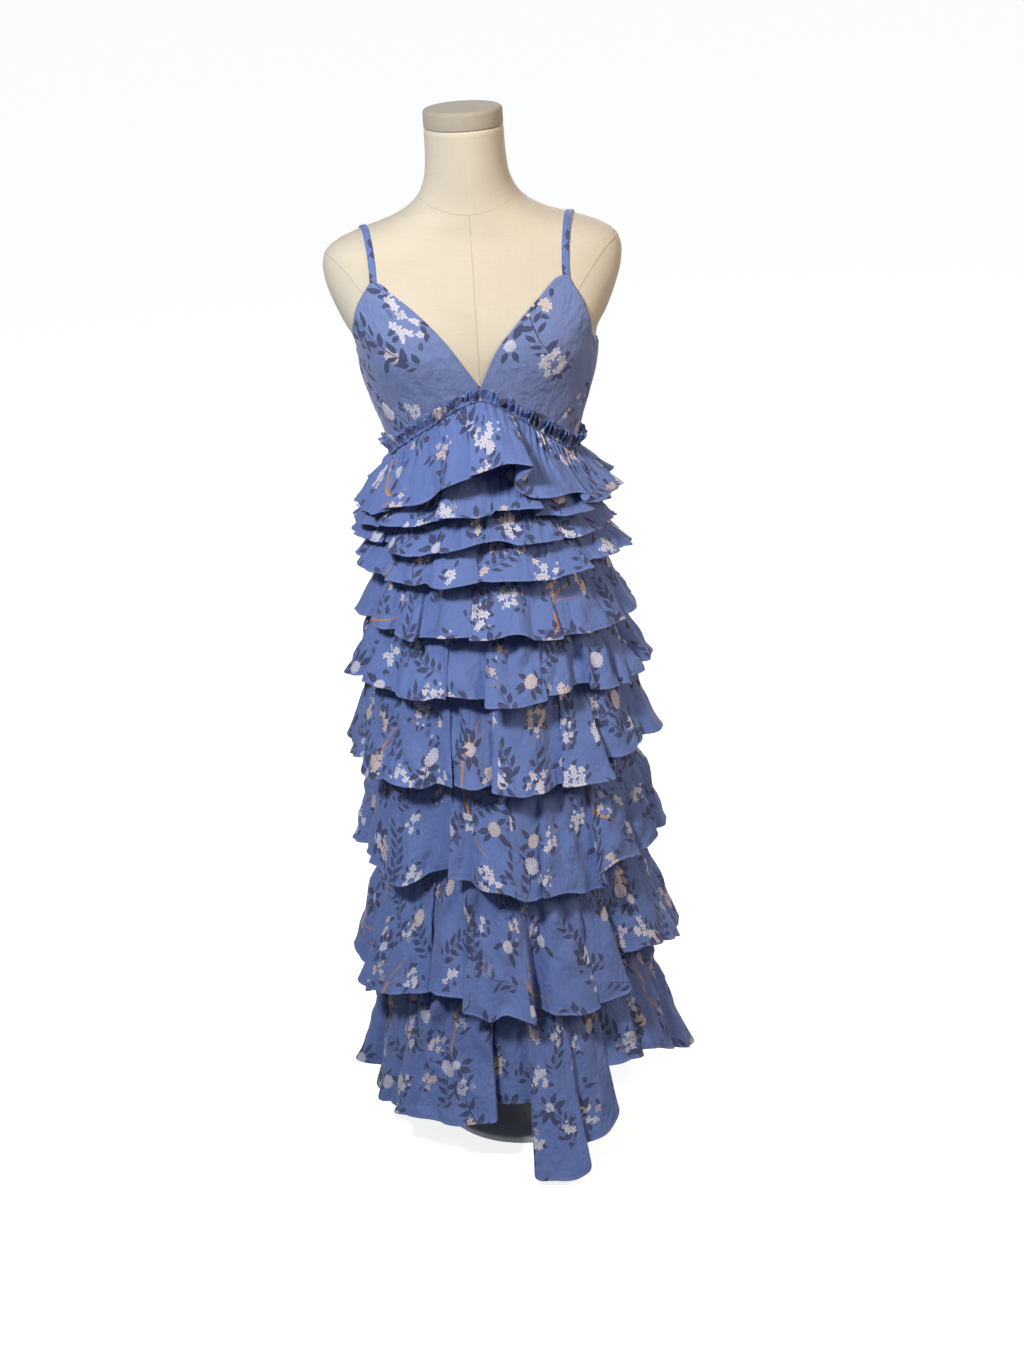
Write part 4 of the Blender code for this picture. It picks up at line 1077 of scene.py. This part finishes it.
def stitchTree(material):  # short threads along a line of points
    tree = bpy.data.node_groups.get("stitch_row")
    if tree:
        return tree
    tree = bpy.data.node_groups.new("stitch_row", "GeometryNodeTree")
    for way in ("INPUT", "OUTPUT"):
        tree.interface.new_socket("Geometry", in_out=way, socket_type="NodeSocketGeometry")
    for name in stitchSizes:
        tree.interface.new_socket(name, in_out="INPUT", socket_type="NodeSocketFloat")
    nodes = {name: tree.nodes.new(kind) for name, kind in (
        ("given", "NodeGroupInput"), ("result", "NodeGroupOutput"),
        ("curve", "GeometryNodeMeshToCurve"), ("even", "GeometryNodeResampleCurve"),
        ("thread", "GeometryNodeMeshCylinder"), ("tangent", "GeometryNodeInputTangent"),
        ("turn", "FunctionNodeAlignRotationToVector"), ("copies", "GeometryNodeInstanceOnPoints"),
        ("smooth", "GeometryNodeSetShadeSmooth"), ("real", "GeometryNodeRealizeInstances"),
        ("paint", "GeometryNodeSetMaterial"))}
    nodes["even"].mode = "LENGTH"
    nodes["thread"].fill_type = "NGON"
    nodes["thread"].inputs["Vertices"].default_value = 5
    nodes["turn"].axis = "Z"
    nodes["paint"].inputs["Material"].default_value = material
    for source, output, target, entry in (
            ("given", "Geometry", "curve", "Mesh"), ("curve", "Curve", "even", "Curve"),
            ("given", "pitch", "even", "Length"), ("given", "stitchLength", "thread", "Depth"),
            ("given", "threadRadius", "thread", "Radius"), ("even", "Curve", "copies", "Points"),
            ("thread", "Mesh", "copies", "Instance"), ("tangent", "Tangent", "turn", "Vector"),
            ("turn", "Rotation", "copies", "Rotation"),
            ("copies", "Instances", "smooth", "Geometry"),
            ("smooth", "Geometry", "real", "Geometry"), ("real", "Geometry", "paint", "Geometry"),
            ("paint", "Geometry", "result", "Geometry")):
        tree.links.new(nodes[source].outputs[output], nodes[target].inputs[entry])
    return tree


def makeTiers(material, threadMaterial):
    envelope = Envelope()
    for number in range(len(tiers), 0, -1):
        tier = tiers[number - 1]
        drop = tier["seam"] - tier["hem"]
        body = np.linspace(0, 1 - ruffle["hemBand"] / drop, ruffle["bodyRows"])
        t, angle = ringGrid(np.concatenate([body, 1 - hemSteps / drop]), ruffle["columns"])
        points = envelope.push(tierPoints(number, angle, t), ruffle["clearance"])
        envelope.add(points)
        fromHem = flatLengths(points)
        outward = outOf(angle)
        roll = ruffle["hemRoll"] * (1 - smoothStep(0.0026, 0.0034, fromHem))
        points = points + outward * (ruffle["middle"] + roll)[..., None]
        width = flatWidths(points, True)
        printAcross, printAlong = (step * number for step in ruffle["printStep"])
        across = np.broadcast_to(width[-1:], width.shape) + printAcross
        clothSheet(f"ruffle_{number:02d}", f"tier_{number:02d}", points, True, across,
                   widened(fromHem) + printAlong, fromHem, material, ruffle["thickness"])
        row = len(body) + 2
        hemStitches(f"ruffle_{number:02d}_stitches", points[row], outward[row], threadMaterial)


foundation = {"hem": 0.270, "rows": 26, "columns": 144, "wall": 0.0015, "thickness": 0.0009}


def makeFoundation(material):
    t, angle = ringGrid(np.linspace(1, 0, foundation["rows"]), foundation["columns"])
    top = empireSeam(angle) - seamGap / 2
    height = foundation["hem"] + (top - foundation["hem"]) * t
    points = clothPoint(angle, height, -foundation["wall"] / 2)
    clothSheet("foundation_cloth", "skirt_foundation", points, True, flatWidths(points, True),
               widened(height) + 9.3, flatLengths(points), material, foundation["thickness"])


# The heading


heading = {"gathers": 74, "rise": 0.0150, "drop": 0.0028, "clearance": 0.0008,
           "columns": 1500, "rows": 12, "flare": 0.0022, "wave": 0.0034, "swing": 0.0042,
           "lean": 2.6, "unevenSpacing": 4.8, "unevenDepth": 0.40, "fineWave": 0.55,
           "unevenTop": 0.0022, "belowSeam": 0.0016, "thickness": 0.0006}


def makeHeading(material):
    up, angle = ringGrid(np.linspace(1, 0, heading["rows"]), heading["columns"])
    seam = empireSeam(angle)
    phase = heading["gathers"] * np.radians(angle)
    phase = phase + heading["unevenSpacing"] * softNoise(7, angle, 4, 28)
    phase = phase + heading["lean"] * softNoise(12, angle, 5, 30) * up
    uneven = 1 + heading["unevenDepth"] * softNoise(11, angle, 10, 44)
    free = smoothStep(0.0, 0.85, up)
    wave = np.sin(phase) + 0.28 * np.sin(2 * phase + 0.8 + 2.0 * up)
    wave = wave * uneven + heading["fineWave"] * softNoise(8, angle, 90, 240, up * 3, 2.5)
    top = heading["unevenTop"] * softNoise(9, angle, 24, 90) * smoothStep(0.5, 1.0, up)
    tall = heading["rise"] + heading["drop"]
    height = seam - heading["drop"] + tall * up + top
    below = heading["belowSeam"] * smoothStep(0.0, 0.0030, seam - height)
    out = heading["clearance"] + heading["wave"] * 1.1 * (0.30 + 0.70 * free)
    out = out + heading["flare"] * smoothStep(0.2, 1.0, up)
    out = out + heading["wave"] * wave * (0.28 + 0.72 * free) + below
    swing = heading["swing"] * np.cos(phase + 1.1) * uneven * (0.25 + 0.75 * free)
    points = clothPoint(angle, height, np.maximum(out, 0.0007 + below))
    turn = np.radians(angle)
    points = points + stack(np.cos(turn), np.sin(turn), 0.0) * swing[..., None]
    width = flatWidths(points, True)
    across = np.broadcast_to(width[:1], width.shape) + 6.1
    clothSheet("gathered_heading", "ruched_heading", points, True, across,
               widened(up) * tall + 0.4, (1 - up) * tall + plainEdge, material,
               heading["thickness"])


# Floor, light and camera


photoView = {"place": (0.0158, -3.0065, 1.9412), "down": 22.876, "roll": 3.7, "reach": 2350.0,
             "frameHeight": 1365.0, "sensor": 36.0}
studio = {"zenith": 0.30, "horizon": 0.14, "tint": (0.90, 0.98, 1.12),
          "below": (0.036, 0.046, 0.074, 1), "radius": 38.0}
lamps = (  # name, place, aim, size, power, colour
    ("key", (-0.80, -1.50, 2.35), (0.0, 0.0, 1.00), 0.36, 52.0, (1.0, 0.990, 0.960)),
    ("warm_fill", (1.75, -1.35, 1.90), (0.0, 0.0, 0.95), 0.9, 27.0, (1.0, 0.770, 0.520)),
    ("back_fill", (0.90, 2.40, 1.60), (0.0, 0.0, 0.80), 1.6, 38.0, (1.0, 0.990, 0.970)),
)


def makeCamera():
    down, roll = math.radians(photoView["down"]), math.radians(photoView["roll"])
    forward = Vector((0.0, math.cos(down), -math.sin(down)))
    below = Vector((0.0, -math.sin(down), -math.cos(down)))
    level = Vector((1.0, 0.0, 0.0))
    right = level * math.cos(roll) + below * math.sin(roll)
    up = level * math.sin(roll) - below * math.cos(roll)
    data = bpy.data.cameras.new("camera")
    data.sensor_width = photoView["sensor"]
    data.lens = photoView["reach"] / photoView["frameHeight"] * photoView["sensor"]
    camera = bpy.data.objects.new("camera", data)
    turn = Matrix((right, up, -forward)).transposed().to_4x4()
    camera.matrix_world = Matrix.Translation(photoView["place"]) @ turn
    bpy.context.scene.collection.objects.link(camera)
    bpy.context.scene.camera = camera


def makeLamps():
    for name, place, aim, size, power, colour in lamps:
        data = bpy.data.lights.new(name, "AREA")
        data.shape = "DISK"
        data.size = size
        data.energy = power
        data.color = colour
        lamp = bpy.data.objects.new(name, data)
        lamp.location = place
        lamp.rotation_euler = (Vector(aim) - Vector(place)).to_track_quat("-Z", "Y").to_euler()
        bpy.context.scene.collection.objects.link(lamp)


def stagePiece(name, tone, glow):  # the object made last becomes part of the studio
    piece = bpy.context.object
    piece.name = name
    piece.visible_diffuse = False
    material, dye = newMaterial(name)
    piece.data.materials.append(finishMaterial(
        material, dye, {"Roughness": 0.9, "Base Color": (tone, tone, tone, 1),
                        "Specular IOR Level": 0.0, "Emission Color": (1, 1, 1, 1),
                        "Emission Strength": glow}, {}))
    return piece


def makeStudio():
    bpy.ops.mesh.primitive_plane_add(size=2 * studio["radius"])
    stagePiece("floor_paper", 0.55, 0.84)
    bpy.ops.mesh.primitive_uv_sphere_add(segments=64, ring_count=32, radius=studio["radius"])
    backdrop = stagePiece("backdrop_paper", 0.0, 1.0)
    backdrop.data.flip_normals()
    backdrop.visible_glossy = backdrop.visible_shadow = False
    world = bpy.data.worlds.new("studio")
    bpy.context.scene.world = world
    world.use_nodes = True
    world.node_tree.nodes.clear()
    dye = Dye(world.node_tree)
    ways = dye.node("TexCoord", {}, {}, "Generated")
    height = Dye(world.node_tree, dye.node("SeparateXYZ", {}, {"Vector": ways}).socket.node.outputs[2])
    level = studio["horizon"] + (studio["zenith"] - studio["horizon"]) * height.soft(0.0, 1.0)
    above = dye.node("CombineColor", {}, {i: level * part for i, part in enumerate(studio["tint"])})
    colour = dye.mix(height.soft(-0.04, 0.02), studio["below"], above)
    back = dye.node("Background", {}, {"Color": colour})
    made = world.node_tree.nodes.new("ShaderNodeOutputWorld")
    world.node_tree.links.new(back.socket, made.inputs["Surface"])
    bpy.context.scene.view_settings.view_transform = "Standard"


def plainThread(name, colour):
    material, dye = newMaterial(name)
    place = dye.node("TexCoord", {}, {}, "Object")
    shade = dye.mix(dye.noise(place, 900.0, 1.0), colour, [c * 0.7 for c in colour[:3]] + [1])
    return finishMaterial(material, dye, {"Roughness": 0.55}, {"Base Color": shade})


makeCamera()
cotton = printedCotton("blue_print_cotton", "ground", "groundDeep")
# the bodice's cloth: a paler copy of the print, with painted light for the brighter light on the bodice
paintedLightCotton = printedCotton("blue_print_cotton_painted_light", "paintedLightGround", "paintedLightGroundDeep")
linen = linenCover("cream_linen_cover", 1.0)
capLinen = linenCover("cream_linen_cap", 0.64)
paint = enamel()
thread = plainThread("blue_thread", (0.115, 0.160, 0.360, 1))
print("materials made")
makeForm(linen)
makeFormSeams(linen)
makeCap(capLinen)
makeStand(paint)
print("dress form made")
makeBodice(paintedLightCotton)
makeStraps(cotton)
print("bodice made")
makeFoundation(cotton)
makeHeading(cotton)
makeTiers(cotton, thread)
print("ruffles made")
makeStudio()
makeLamps()
